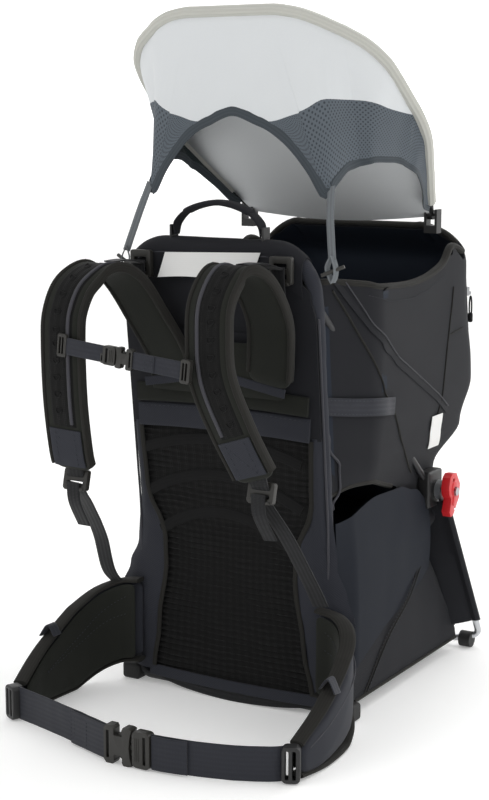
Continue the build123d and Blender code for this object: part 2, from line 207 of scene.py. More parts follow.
def band(name, steps, width, thick, side=0.0, lift=0.0, span=(0.0, 1.0), square=6.0, sides=20,
         round_end=0.0, wrinkle=0.0):
    """A strap, pad or binding: one rounded section carried along a course. side and lift move it off
    the course; width and thick may be tables over the span; square is how sharp its corners are."""
    first = round(span[0] * (len(steps) - 1))
    last = round(span[1] * (len(steps) - 1))
    steps = steps[first:last + 1]
    reach = [0.0]
    for a, b in zip(steps, steps[1:]):
        reach.append(reach[-1] + (b[0] - a[0]).length)
    stations = reach
    if round_end:
        stations = [round_end * (1 - math.cos(math.radians(a))) for a in (0, 12, 25, 40, 55, 70)]
        stations += [d for d in reach if round_end < d < reach[-1] - round_end]
        stations += [reach[-1] - round_end * (1 - math.cos(math.radians(a))) for a in (70, 55, 40, 25, 12, 0)]
    rows, k = [], 0
    for distance in stations:
        while k < len(reach) - 2 and reach[k + 1] < distance:
            k += 1
        t = (distance - reach[k]) / max(reach[k + 1] - reach[k], 1e-9)
        point, _, across, out = (a.lerp(b, t) for a, b in zip(steps[k], steps[k + 1]))
        share = distance / reach[-1]
        w = straight(width, share) if isinstance(width, list) else width
        h = straight(thick, share) if isinstance(thick, list) else thick
        if round_end:
            end = min(distance, reach[-1] - distance) / round_end
            trim = math.sqrt(max(0.0, 1 - (1 - min(1.0, end)) ** 2))
            h *= max(0.25, trim)
            w = w - 2 * round_end * (1 - max(0.08, trim))
        s = straight(side, share) if isinstance(side, list) else side
        row = []
        for j in range(sides):
            a = math.tau * (j + 0.5) / sides
            c, d = math.cos(a), math.sin(a)
            x = w / 2 * math.copysign(abs(c) ** (2 / square), c)
            y = h / 2 * math.copysign(abs(d) ** (2 / square), d)
            spot = point + across * (x + s) + out * (y + lift)
            if wrinkle:
                spot += out * wrinkle * ripple(spot, 22)
            row.append(spot)
        rows.append(row)
    return skin(name, rows, closed=True, caps=True)


def cord_line(name, points, thickness, count=60):
    """A seam, piping or cord: a round section along a smooth line."""
    line = smooth_line(points, count)
    rows = []
    side = None
    for i, point in enumerate(line):
        along = (line[min(i + 1, count - 1)] - line[max(i - 1, 0)]).normalized()
        if side is None:
            side = along.orthogonal().normalized()
        side = (side - along * side.dot(along)).normalized()
        out = along.cross(side)
        rows.append([point + (side * math.cos(a) + out * math.sin(a)) * thickness / 2
                     for a in (math.tau * j / 8 for j in range(8))])
    return skin(name, rows, closed=True, caps=True)


def apply_modifier(piece, kind, **settings):
    """Add a modifier and apply it at once."""
    modifier = piece.modifiers.new(kind.title(), kind)
    for key, value in settings.items():
        setattr(modifier, key, value)
    only(piece)
    bpy.ops.object.modifier_apply(modifier=modifier.name)
    return piece


def only(*chosen):
    """Select these objects and nothing else."""
    if bpy.context.mode != "OBJECT":
        bpy.ops.object.mode_set(mode="OBJECT")
    for other in bpy.context.view_layer.objects:
        other.select_set(False)
    for piece in chosen:
        piece.select_set(True)
    bpy.context.view_layer.objects.active = chosen[0]


def walls(piece, thickness, offset=-1.0, inner=None):
    """Give a surface its thickness; inner puts another material on the far side."""
    if inner:
        piece.data.materials.append(None)
        piece.data.materials.append(None)
    apply_modifier(piece, "SOLIDIFY", thickness=thickness / 1000, offset=offset, use_even_offset=False,
                   material_offset=0 if inner is None else 1, material_offset_rim=0)
    return piece


def joined(name, pieces):
    """Several meshes as one piece."""
    only(*pieces)
    if len(pieces) > 1:
        bpy.ops.object.join()
    piece = bpy.context.view_layer.objects.active
    piece.name = piece.data.name = name
    return piece


def mirrored(piece, name):
    """The same piece on the other side, with its own mesh."""
    other = bpy.data.objects.new(name, piece.data.copy())
    bpy.context.collection.objects.link(other)
    other.data.transform(Matrix.Scale(-1, 4, (1, 0, 0)))
    other.data.flip_normals()
    return other


def ringed(name, lots):
    """One piece made of many small closed shapes, each a list of rings of points."""
    shape = bmesh.new()
    for lot in lots:
        rings = [[shape.verts.new(at(*spot)) for spot in ring] for ring in lot]
        n = len(rings[0])
        for low, high in zip(rings, rings[1:]):
            for j in range(n):
                shape.faces.new((low[j], low[(j + 1) % n], high[(j + 1) % n], high[j]))
        shape.faces.new(list(reversed(rings[0])))
        shape.faces.new(rings[-1])
    bmesh.ops.recalc_face_normals(shape, faces=shape.faces)
    mesh = bpy.data.meshes.new(name)
    shape.to_mesh(mesh)
    shape.free()
    piece = bpy.data.objects.new(name, mesh)
    bpy.context.collection.objects.link(piece)
    return piece


def stitches(name, points, length=4.0, gap=3.0, thick=0.9):
    """A run of thread: short stitches with gaps, along a smooth line."""
    points = [Vector(p) for p in points]
    total = sum((b - a).length for a, b in zip(points, points[1:]))
    count = max(3, int(total / (length + gap)))
    line = smooth_line(points, count * 2 + 1)
    lots = []
    for i in range(count):
        a, b = line[2 * i], line[2 * i + 1]
        along = (b - a).normalized()
        side = along.orthogonal().normalized()
        out = along.cross(side)
        lots.append([[spot + (side * math.cos(t) + out * math.sin(t)) * thick / 2 * r
                      for t in (math.tau * j / 5 for j in range(5))]
                     for spot, r in ((a, 0.3), (a.lerp(b, 0.3), 1.0), (a.lerp(b, 0.7), 1.0), (b, 0.3))])
    return ringed(name, lots)


def plate(name, outline, depth, bevel=1.0, segments=3, holes=()):
    """A moulded part: a disc pulled out to an outline in X and Z, extruded by depth in Y, its edges
    rounded, and holes cut through. It is drawn round zero, in millimetres."""
    bpy.ops.mesh.primitive_circle_add(vertices=len(outline), radius=0.01, fill_type="NGON",
                                      location=(0, 0, 0))
    piece = bpy.context.active_object
    piece.name = piece.data.name = name
    for vertex, (x, z) in zip(piece.data.vertices, outline):
        vertex.co = Vector((x, -depth / 2, z)) / 1000
    bpy.ops.object.mode_set(mode="EDIT")
    bpy.ops.mesh.select_all(action="SELECT")
    bpy.ops.mesh.extrude_region_move(TRANSFORM_OT_translate={"value": (0, depth / 1000, 0)})
    bpy.ops.mesh.select_all(action="SELECT")
    bpy.ops.mesh.normals_make_consistent(inside=False)
    bpy.ops.object.mode_set(mode="OBJECT")
    for hole, deep in holes:
        cutter = plate("cutter", hole, deep, 0)
        only(piece)
        apply_modifier(piece, "BOOLEAN", object=cutter, operation="DIFFERENCE", solver="EXACT")
        bpy.data.objects.remove(cutter)
    if bevel:
        apply_modifier(piece, "BEVEL", width=bevel / 1000, segments=segments, limit_method="ANGLE",
                       angle_limit=math.radians(40), harden_normals=False)
    return piece


def rounded_box(x, z, radius, steps=4):
    """An outline for plate(): a rectangle x by z round zero with rounded corners."""
    outline = []
    for cx, cz, start in ((1, 1, 0), (-1, 1, 90), (-1, -1, 180), (1, -1, 270)):
        for k in range(steps + 1):
            a = math.radians(start + 90 * k / steps)
            outline.append((cx * (x / 2 - radius) + radius * math.cos(a),
                            cz * (z / 2 - radius) + radius * math.sin(a)))
    return outline


def moved(outline, x, z):
    return [(a + x, b + z) for a, b in outline]


def place(piece, centre, turns=()):
    """Turn a part about zero and put it at a point of the drawing; its own object stays at zero."""
    matrix = Matrix.Translation(at(*centre))
    for axis, degrees in turns:
        matrix = matrix @ Matrix.Rotation(math.radians(degrees), 4, axis)
    piece.data.transform(matrix)
    return piece


def puff(piece, travel, pressure=4.0, voxel=0.005):
    """Blow a pad up as cloth: remesh it, let the pressure in, and keep every point within travel."""
    apply_modifier(piece, "REMESH", mode="VOXEL", voxel_size=voxel)
    start = [v.co.copy() for v in piece.data.vertices]
    cloth = piece.modifiers.new("Cloth", "CLOTH")
    cloth.settings.use_pressure = True
    cloth.settings.uniform_pressure_force = pressure
    cloth.settings.effector_weights.gravity = 0
    cloth.settings.quality = 5
    scene = bpy.context.scene
    for step in range(1, 21):
        scene.frame_set(step)
    only(piece)
    bpy.ops.object.modifier_apply(modifier=cloth.name)
    for vertex, old in zip(piece.data.vertices, start):
        way = vertex.co - old
        if way.length > travel / 1000:
            vertex.co = old + way.normalized() * travel / 1000
    scene.frame_set(1)
    apply_modifier(piece, "SUBSURF", levels=1, render_levels=1)
    return piece


def finish_piece(piece, body, coat, replaces=(), angle=40.0, inner=None):
    """Shade a piece, give it its material and body, and hide the CAD nodes it stands for."""
    materials = [coat] + ([inner] if inner is not None else [])
    for index, material in enumerate(materials):
        if index < len(piece.data.materials):
            piece.data.materials[index] = material
        else:
            piece.data.materials.append(material)
    only(piece)
    bpy.ops.object.shade_smooth_by_angle(angle=math.radians(angle))
    if body is not None:
        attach(piece, body)
    if replaces:
        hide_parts(*replaces)
    return piece


# ---- Materials ----

def linear(hex_colour):
    """An sRGB hex value as linear red, green, blue and alpha."""
    channels = []
    for k in (1, 3, 5):
        c = int(hex_colour[k:k + 2], 16) / 255
        channels.append(c / 12.92 if c <= 0.04045 else ((c + 0.055) / 1.055) ** 2.4)
    return (*channels, 1.0)


def add(tree, kind, inputs=(), **settings):
    """Add a shader node, set its options, and fill its inputs with values or links."""
    node = tree.nodes.new("ShaderNode" + kind)
    for key, value in settings.items():
        setattr(node, key, value)
    for key, value in dict(inputs).items():
        if isinstance(value, bpy.types.NodeSocket):
            tree.links.new(value, node.inputs[key])
        else:
            node.inputs[key].default_value = value
    return node


BAND_PERIOD = math.pi / 10  # length of one band of the wave texture at scale 1


def dirt(tree, coords, colour, amount, size):
    """The base colour with slow changes of shade, size metres across."""
    cloud = add(tree, "TexNoise", {"Vector": coords, "Scale": 1 / size, "Detail": 4.0, "Roughness": 0.6})
    dark = tuple(c * (1 - amount) for c in colour[:3]) + (1.0,)
    light = tuple(min(1.0, c * (1 + amount)) for c in colour[:3]) + (1.0,)
    return add(tree, "Mix", {"Factor": cloud.outputs["Fac"], 6: dark, 7: light}, data_type="RGBA")


def surface(name, colour, roughness, height=None, strength=0.3, distance=0.001, **constants):
    """A new material with the one shader; height is a function that draws its bump and shade."""
    material = bpy.data.materials.new(name)
    material.use_nodes = True
    tree = material.node_tree
    shader = tree.nodes["Principled BSDF"]
    shader.inputs["Roughness"].default_value = roughness
    for key, value in constants.items():
        shader.inputs[key.replace("_", " ")].default_value = value
    if height is None:
        shader.inputs["Base Color"].default_value = colour
        return material
    bump, paint = height(tree, colour)
    tree.links.new(paint, shader.inputs["Base Color"])
    if bump is not None:
        relief = add(tree, "Bump", {"Height": bump, "Strength": strength, "Distance": distance})
        tree.links.new(relief.outputs["Normal"], shader.inputs["Normal"])
    material.diffuse_color = colour
    return material


def cloth(name, colour, thread, weave="plain", space="UV", roughness=0.85, strength=0.35, sheen=0.12,
          contrast=0.35, shade=0.14):
    """Woven goods. thread is the spacing of the pattern in millimetres."""
    def draw(tree, tint):
        coords = add(tree, "TexCoord").outputs[space]
        period = BAND_PERIOD / (thread / 1000)
        if weave == "twill":
            a = add(tree, "TexWave", {"Vector": coords, "Scale": period, "Distortion": 0.0},
                    bands_direction="DIAGONAL").outputs["Fac"]
            b = add(tree, "TexWave", {"Vector": coords, "Scale": period * 2},
                    bands_direction="Y").outputs["Fac"]
        elif weave == "rib":
            a = add(tree, "TexWave", {"Vector": coords, "Scale": period}, bands_direction="X").outputs["Fac"]
            b = add(tree, "TexWave", {"Vector": coords, "Scale": period / 3},
                    bands_direction="Y").outputs["Fac"]
        elif weave == "mesh":
            cells = add(tree, "TexVoronoi", {"Vector": coords, "Scale": 1000 / thread, "Randomness": 0.15})
            a = cells.outputs["Distance"]
            b = add(tree, "TexWave", {"Vector": coords, "Scale": period / 4},
                    bands_direction="Y").outputs["Fac"]
        else:
            a = add(tree, "TexWave", {"Vector": coords, "Scale": period}, bands_direction="X").outputs["Fac"]
            b = add(tree, "TexWave", {"Vector": coords, "Scale": period},
                    bands_direction="Z" if space == "Object" else "Y").outputs["Fac"]
        both = add(tree, "Math", {0: a, 1: b}, operation="MULTIPLY").outputs["Value"]
        base = dirt(tree, coords, tint, shade, 0.06).outputs[2]
        low = tuple(c * (1 - contrast) for c in tint[:3]) + (1.0,)
        paint = add(tree, "Mix", {"Factor": both, 6: low, 7: base}, data_type="RGBA").outputs[2]
        return both, paint
    return surface(name, linear(colour), roughness, draw, strength, thread / 3000,
                   Sheen_Weight=sheen, Sheen_Roughness=0.5, Specular_IOR_Level=0.25)


def moulded(name, colour, roughness, grain=0.7, strength=0.12, ior=1.47, shade=0.08):
    """Injection-moulded plastic or rubber with a fine spark-eroded grain, in millimetres."""
    def draw(tree, tint):
        coords = add(tree, "TexCoord").outputs["Object"]
        spots = add(tree, "TexNoise", {"Vector": coords, "Scale": 1000 / grain, "Detail": 2.0}).outputs["Fac"]
        return spots, dirt(tree, coords, tint, shade, 0.02).outputs[2]
    return surface(name, linear(colour), roughness, draw, strength, grain / 4000, IOR=ior)


def metal(name, colour, roughness, streak=0.6, strength=0.08):
    """Drawn metal tube: fine lines along the drawing direction, in millimetres."""
    def draw(tree, tint):
        coords = add(tree, "TexCoord").outputs["Object"]
        lines = add(tree, "Mapping", {"Vector": coords, "Scale": (1000 / streak, 1000 / streak, 25.0)})
        scratch = add(tree, "TexNoise", {"Vector": lines.outputs["Vector"], "Scale": 1.0, "Detail": 3.0})
        return scratch.outputs["Fac"], dirt(tree, coords, tint, 0.06, 0.05).outputs[2]
    return surface(name, linear(colour), roughness, draw, strength, 0.0002, Metallic=1.0)


def net(name, colour, hole_colour, spacing, space="UV"):
    """Diamond net: rows of small dark openings set cornerwise, spacing in millimetres."""
    def draw(tree, tint):
        coords = add(tree, "TexCoord").outputs[space]
        turned = add(tree, "Mapping", {"Vector": coords,
                                       "Rotation": (0, 0, math.radians(45))}).outputs["Vector"]
        period = BAND_PERIOD / (spacing / 1000)
        a = add(tree, "TexWave", {"Vector": turned, "Scale": period}, bands_direction="X").outputs["Fac"]
        b = add(tree, "TexWave", {"Vector": turned, "Scale": period}, bands_direction="Y").outputs["Fac"]
        both = add(tree, "Math", {0: a, 1: b}, operation="MULTIPLY").outputs["Value"]
        holes = add(tree, "MapRange", {"Value": both, "From Min": 0.35, "From Max": 0.6}).outputs["Result"]
        base = dirt(tree, coords, tint, 0.1, 0.08).outputs[2]
        paint = add(tree, "Mix", {"Factor": holes, 6: base, 7: linear(hole_colour)},
                    data_type="RGBA").outputs[2]
        turned_over = add(tree, "Math", {0: 1.0, 1: holes}, operation="SUBTRACT").outputs["Value"]
        return turned_over, paint
    return surface(name, linear(colour), 0.8, draw, 0.4, 0.0008, Sheen_Weight=0.1, Specular_IOR_Level=0.2)


def hex_text(colour):
    """The sRGB hex value of a linear colour setting."""
    shares = [12.92 * c if c <= 0.0031308 else 1.055 * c ** (1 / 2.4) - 0.055 for c in colour[:3]]
    return "#%02x%02x%02x" % tuple(round(255 * c) for c in shares)


def make_materials(colours):
    """Every finish of the carrier, by the name the pieces ask for."""
    pack, trim, shade = hex_text(colours.pack), hex_text(colours.trim), hex_text(colours.shade)
    return {
        # Coated nylon: matt and dark. Threads are usually about 0.5 mm apart; 1.6 mm is drawn, to show.
        "pack": cloth("coated_nylon_cloth", pack, 1.6, strength=0.25, sheen=0.03),
        "pack_object": cloth("coated_nylon_cloth_cut", pack, 1.6, space="Object", strength=0.25, sheen=0.03),
        # Heavier slate nylon with a twill line, drawn coarser than the real thread.
        "trim": cloth("slate_nylon_twill", trim, 1.8, "twill", strength=0.3, sheen=0.05),
        # Taffeta: navy-black, smoother than the pack cloth and without sheen.
        "lining": cloth("taffeta_lining", "#1a1f29", 1.2, strength=0.12, roughness=0.8, sheen=0.0),
        # The same taffeta inside the cockpit, painted a shade lighter so that the inside reads apart: painted
        # light, standing in for the light that the shaded inside of the cockpit does not get.
        "cockpit_painted_light_lining": cloth("cockpit_taffeta_painted_light", "#262d39", 1.2, strength=0.12, roughness=0.8, sheen=0.0),
        # Knitted spacer mesh: black, with rows of small open cells.
        "spacer": cloth("knitted_spacer_mesh", "#141414", 2.6, "mesh", strength=0.9, contrast=0.8,
                        sheen=0.05),
        # Knitted tape: near black, soft fine ribs.
        "tape": cloth("knitted_tape", "#0d0d0e", 1.4, "rib", strength=0.3, sheen=0.06),
        # Brushed tricot over foam: olive-black, soft, almost no pattern.
        "foam": cloth("brushed_tricot_foam", "#1d1f1a", 1.3, "twill", strength=0.18, sheen=0.05,
                      contrast=0.15),
        # Grosgrain edge tape: fine ribs across its width.
        "binding": cloth("grosgrain_binding", "#282724", 1.2, "rib", strength=0.4, sheen=0.04),
        # Grey piping: a line along the seams, paler than the cloth.
        "piping": cloth("grey_piping", "#4a4a50", 1.2, "rib", strength=0.3),
        # Woven polyester webbing: ribs 2 mm apart and a satin face.
        "webbing": cloth("polyester_webbing", "#292b33", 2.0, "rib", strength=0.35, roughness=0.65,
                         contrast=0.2),
        # The same webbing in black, with deeper ribs.
        "webbing_black": cloth("black_polyester_webbing", "#17181b", 2.0, "rib", strength=0.6,
                               roughness=0.65),
        # Bonded thread: grey stitches that stand out from the dark cloth.
        "thread": cloth("bonded_thread", "#3d3f47", 0.8, "rib", space="Object", strength=0.2),
        # Sunshade: pale plain-woven polyester with a soft sheen, its nets and tapes.
        "shade": cloth("shade_polyester", shade, 1.5, strength=0.12, contrast=0.05, shade=0.03,
                       roughness=0.75),
        # Knitted net, drawn closed: its holes are a second colour, 4.2 mm apart. Inside it is darker: a
        # shaded copy of the same net, painted shade for the inside of the sunshade.
        "net": net("shade_net", "#5d646b", "#3a4046", 4.2),
        "net_painted_shade": net("sunshade_net_painted_shade", "#1c2729", "#39464a", 4.2),
        # Slate edge tape, the paler sleeve of the hoop and the ties: ribbed and matt.
        "shade_binding": cloth("shade_edge_tape", "#4a5157", 1.4, "rib", strength=0.3),
        "hoop_tape": cloth("hoop_sleeve_tape", "#c4c4bd", 1.6, "rib", strength=0.25, contrast=0.12,
                           shade=0.05),
        "shade_tape": cloth("shade_tie_tape", "#7d8286", 1.6, "rib", strength=0.5),
        # Acetal buckles: dark brown-grey, satin, fine grain.
        "plastic": moulded("moulded_acetal", "#292825", 0.42, ior=1.48),
        # Nylon sockets and clips: blacker and less shiny.
        "plastic_black": moulded("moulded_black_nylon", "#1a1a1b", 0.5, ior=1.53),
        # Red nylon thumb latch: the one bright colour, with a soft highlight.
        "latch": moulded("moulded_red_nylon", "#cf2329", 0.34, grain=1.1, strength=0.08, ior=1.53,
                         shade=0.04),
        # Rubber feet: dark, rough, hardly any highlight.
        "rubber": moulded("moulded_rubber", "#1c1c1c", 0.7, grain=1.4, strength=0.2, ior=1.52),
        # Powder-coated and anodised aluminium tube, and zinc-plated clips.
        "coated_tube": moulded("black_powder_coat", "#1b1c1f", 0.45, grain=1.0, strength=0.1, ior=1.5),
        "aluminium": metal("anodised_aluminium", "#c3c5c8", 0.34),
        "steel": metal("zinc_plated_steel", "#a9aaad", 0.28, strength=0.04),
        # Satin-woven care label.
        "label": cloth("satin_label", "#e9e9e7", 1.0, "rib", strength=0.06, contrast=0.03, shade=0.02,
                       roughness=0.6),
        # Braided cord of the zip pull: black, with a slanted braid.
        "cord": cloth("braided_cord", "#17171a", 1.5, "twill", strength=0.5),
    }


FINISH = {}


def coat_node(name, finish):
    """A better material on a CAD node that stays."""
    node = frame["nodes"][name]
    if node.data.materials:
        for index in range(len(node.data.materials)):
            node.data.materials[index] = FINISH[finish]
    else:
        node.data.materials.append(FINISH[finish])


# ---- Settings ----

def colour_setting(label, text, hex_colour):
    return bpy.props.FloatVectorProperty(
        name=label, description=text, default=linear(hex_colour)[:3], size=3, min=0, max=1, subtype="COLOR")


def size_setting(label, text, millimetres, low, high):
    return bpy.props.FloatProperty(
        name=label, description=text, default=millimetres / 1000, min=low / 1000, max=high / 1000,
        subtype="DISTANCE", unit="LENGTH")


class CarrierSizes(bpy.types.PropertyGroup):
    """Sizes that a user may change."""
    pad_width: size_setting("Shoulder pad width", "Width of the two shoulder pads", 66, 50, 80)
    pad_thickness: size_setting("Shoulder pad thickness", "Thickness of the shoulder pads", 14, 8, 18)
    belt_webbing: size_setting("Belt webbing", "Width of the hip belt's webbing", 45, 25, 50)
    strap_webbing: size_setting("Strap webbing", "Width of the straps under the shoulder pads", 24, 15, 30)
    sternum_webbing: size_setting("Chest webbing", "Width of the chest strap's webbing", 22, 15, 25)
    hoop_tape: size_setting("Hoop sleeve", "Diameter of the sleeve round the shade's wire", 15, 9, 18)


class CarrierColours(bpy.types.PropertyGroup):
    """Colours that a user may change."""
    pack: colour_setting("Pack cloth", "Main cloth of the bags and the back", "#1f2025")
    trim: colour_setting("Trim cloth", "Heavier cloth of the edges and patches", "#33353d")
    shade: colour_setting("Shade cloth", "Pale cloth of the sunshade", "#dcdfe1")


# ---- Back of the carrier ----

MESH_HALF = [(27, 132), (96, 120), (186, 107), (236, 109), (268, 128), (300, 134), (384, 137)]
RIBS = [(371, 0.0015), (321, 0.0024), (268, 0.0034)]    # crown height and how fast each arch drops
RIB_CENTRE = -8.0
GATHER = 8.5


def rib_z(rib, x):
    return rib[0] - rib[1] * (x - RIB_CENTRE) ** 2


def make_mesh_back():
    rows = []
    for i in range(181):
        z = 28 + 357 * i / 180
        half = between(MESH_HALF, z)
        row = []
        for j in range(49):
            x = half * (2 * j / 48 - 1)
            edge = abs(x) / half
            strength = 0.45 + 0.75 * edge ** 3 + (0.35 if z < 300 else 0.0)
            y = panel_y(z) - 2.0 * (1 - edge ** 2)
            phase = math.tau * (z + 3.5 * ripple((x, 0, z), 60)) / GATHER
            hide = 1.0
            for rib in RIBS:
                d = z - rib_z(rib, x)
                y -= 2.2 * math.exp(-(d / 10) ** 2)
                hide *= 1 - math.exp(-(d / 13) ** 2)
            y -= 1.25 * strength * hide * (math.sin(phase) + 0.35 * math.sin(2.1 * phase + x / 30))
            row.append(Vector((x, y, z)))
        rows.append(row)
    piece = walls(skin("back_mesh_sheet", rows), 2.2)
    finish_piece(piece, "frame", FINISH["spacer"], ["mesh_back_panel"], angle=60)
    arches = []
    for k, rib in enumerate(RIBS):
        reach = between(MESH_HALF, rib[0] - 20) - 6
        points = []
        for j in range(15):
            x = RIB_CENTRE + (reach - 6) * (2 * j / 14 - 1)
            z = rib_z(rib, x)
            points.append((x, panel_y(z) - 4.6 + 1.2 * (x / reach) ** 2, z))
        arches.append(band(f"arch_{k}", course(points, (0, 0, 1), 44), 15, 2.4, square=3))
    finish_piece(joined("back_mesh_arches", arches), "frame", FINISH["tape"])


def make_gussets():
    rows = []
    for i in range(60):
        z = 24 + 362 * i / 59
        inner = between(MESH_HALF, z) - 5
        outer = between([(20, 168), (60, 177), (100, 187), (138, 187), (172, 174), (209, 159), (299, 150),
                         (384, 151)], z)
        row = []
        for j in range(13):
            t = j / 12
            x = inner + (outer - inner) * t
            y = panel_y(z) - 3.0 + 13 * t ** 3 - 2.2 * math.sin(math.pi * t)
            y += 1.4 * ripple((x, 0, z), 26, 3)
            row.append(Vector((x, y, z)))
        rows.append(row)
    left = walls(skin("back_gusset_left", rows), 1.6)
    right = mirrored(left, "back_gusset_right")
    for piece in (left, right):
        finish_piece(piece, "frame", FINISH["trim"])
    edges = []
    for sign in (-1, 1):
        points = [(sign * (between(MESH_HALF, z) - 4), panel_y(z) - 4.2, z) for z in range(30, 384, 22)]
        edges.append(band(f"edge_{sign}", course(points, (1, 0, 0), 60), 7, 2.6, square=3))
    finish_piece(joined("back_mesh_binding", edges), "frame", FINISH["binding"])


def make_hem():
    points = [(x, panel_y(22) - 1.5 - 4 * (1 - (x / 140) ** 2), 23 - 2 * (1 - (x / 140) ** 2))
              for x in range(-136, 137, 34)]
    finish_piece(band("bottom_hem", course(points, (0, 0, 1), 50), 16, 4, square=4), "frame",
                 FINISH["trim"])
    points = [(-120, 8, 15), (-70, 2, 9), (0, -1, 6), (70, 2, 9), (120, 8, 15)]
    finish_piece(band("hem_strap", course(points, (0, 0, 1), 40), 11, 2.4), "frame",
                 FINISH["webbing_black"])


def make_upper_back():
    rows = []
    for i in range(61):
        z = 383 + 216 * i / 60
        half = between([(383, 147), (540, 147), (575, 140), (599, 118)], z)
        row = []
        for j in range(45):
            x = half * (2 * j / 44 - 1)
            edge = abs(x) / half
            y = panel_y(z) - 1.5 - 4.5 * (1 - edge ** 4) + 1.3 * ripple((x, 0, z), 34, 1)
            y += 2.6 * math.exp(-((z - 520) / 4) ** 2) * (1 - edge ** 2)
            row.append(Vector((x, y, z)))
        rows.append(row)
    piece = walls(skin("upper_back_pad", rows), 7)
    finish_piece(piece, "frame", FINISH["pack"], ["upper_back_panel"])
    for name, z, height, finish, lift in (("waist_band", 401, 32, "trim", 8.5),
                                          ("lumbar_band", 433, 26, "foam", 9.5)):
        points = [(x, panel_y(z) - lift + 3.5 * (x / 140) ** 2, z - 5 * (x / 140) ** 2)
                  for x in range(-133, 134, 38)]
        strip = band(name, course(points, (0, 0, 1), 40), height, 5, square=4, wrinkle=0.5)
        finish_piece(strip, "frame", FINISH[finish])
    runs = []
    for z in (388.5, 413.5):
        points = [(x, panel_y(z) - 11.2 + 3.5 * (x / 140) ** 2, z - 5 * (x / 140) ** 2)
                  for x in range(-126, 127, 42)]
        runs.append(stitches(f"run_{z}", points))
    finish_piece(joined("waist_band_stitching", runs), "frame", FINISH["thread"])


def make_sleeve():
    """The cloth sleeve that wraps the frame's side tubes and goes over its top corners."""
    half = [(163, 44), (153, 80), (143, 122), (141, 180), (141, 260), (141, 360), (141, 470), (141, 556),
            (137, 590), (124, 612), (100, 621), (60, 622), (0, 622)]
    half = [(x, panel_y(z) + TUBE_SET, z) for x, z in half]
    path = half + [(-x, y, z) for x, y, z in reversed(half[:-1])]
    steps = course(path, (0, 1, 0), 260)
    piece = band("frame_sleeve", steps, 20, 19, square=2.3, sides=24, wrinkle=1.0)
    finish_piece(piece, "frame", FINISH["trim"])
    piping = []
    for sign in (-1, 1):
        points = [(sign * 149, panel_y(z) + 3, z) for z in range(130, 590, 46)]
        piping.append(cord_line(f"piping_{sign}", points, 3.2, 70))
    finish_piece(joined("frame_piping", piping), "frame", FINISH["piping"])


FLAP = [(-39, 590), (-42, 602), (-43, 616), (-43, 627), (-40, 635), (-34, 639), (-26, 640), (-18, 638),
        (-12, 632), (-11, 622), (-12, 608)]


def make_top_flap():
    rows = []
    for i in range(65):
        x = 130 * (2 * i / 64 - 1)
        drop = 20 * max(0.0, (abs(x) - 84) / 46) ** 2
        pull = 1 - 0.3 * max(0.0, (abs(x) - 100) / 30)
        row = []
        for y, z in smooth_flap(FLAP):
            spot = Vector((x, -27 + (y + 27) * pull, z - drop))
            spot.y += 0.9 * ripple(spot, 24, 5)
            spot.z += 0.7 * ripple(spot, 30, 6)
            row.append(spot)
        rows.append(row)
    piece = walls(skin("top_tube_flap", rows), 2.4)
    outwards(piece)
    finish_piece(piece, "frame", FINISH["pack"], ["top_flap"])
    points = [(x, -44.5, 622 - 20 * max(0.0, (abs(x) - 84) / 46) ** 2) for x in range(-120, 121, 20)]
    finish_piece(cord_line("top_flap_piping", points, 2.4, 60), "frame", FINISH["piping"])
    tag = []
    for i in range(25):
        t = i / 24
        top = Vector((-72 + 146 * t, -48.0, 622 + 5 * t))
        low = Vector((-80 + 142 * t, -49.5, 589 + 5 * t))
        row = []
        for j in range(9):
            s = j / 8
            spot = top.lerp(low, s)
            sway = 1.6 * s * math.sin(9 * t + 1)
            curl = 1.6 * s * math.exp(-((t - 0.05) / 0.1) ** 2)
            spot.y -= sway + 2.0 * s * s + curl
            spot.z += 1.2 * s * math.sin(7 * t)
            row.append(spot)
        tag.append(row)
    tag = walls(skin("care_label", tag), 0.7)
    outwards(tag)
    finish_piece(tag, "frame", FINISH["label"], ["care_tag"])


def smooth_flap(profile):
    return [(p.y, p.z) for p in smooth_line([(0, y, z) for y, z in profile], 29)]


class CARRIER_OT_back(bpy.types.Operator):
    """Back panel: gathered mesh, gussets, padded top, sleeve, flap and label"""
    bl_idname = "carrier.back"
    bl_label = "Back panel"

    def execute(self, context):
        make_mesh_back()
        make_gussets()
        make_hem()
        make_upper_back()
        make_sleeve()
        make_top_flap()
        return {"FINISHED"}


class CARRIER_OT_frame(bpy.types.Operator):
    """Metal frame, struts, pivots and feet"""
    bl_idname = "carrier.metal_frame"
    bl_label = "Metal frame"

    def execute(self, context):
        for name in ("main_frame_tube", "lower_cross_tube", "upper_cross_tube", "upper_struts",
                     "lower_struts"):
            coat_node(name, "coated_tube")
        for name in ("pivot_block_left", "pivot_block_right", "handle_tabs"):
            coat_node(name, "plastic_black")
        for name in ("pivot_pins", "latch_springs", "hem_clamps"):
            coat_node(name, "steel")
        for name in ("front_foot_left", "front_foot_right", "rear_foot_left", "rear_foot_right"):
            coat_node(name, "rubber")
        coat_node("kickstand_tube", "aluminium")
        return {"FINISHED"}


# ---- Shoulder harness ----

PAD_LEFT = [
    (84, -42, 456), (91, -50, 494), (97, -65, 546), (88, -94, 596), (73, -124, 608), (64, -148, 574),
    (64, -155, 530), (71, -158, 477), (93, -148, 415), (116, -126, 350)]
PAD_RIGHT = [
    (-64, -42, 456), (-68, -50, 490), (-86, -67, 536), (-106, -92, 586), (-126, -118, 602),
    (-146, -144, 584), (-155, -158, 550), (-153, -166, 510), (-151, -166, 434), (-154, -152, 366),
    (-155, -142, 338)]


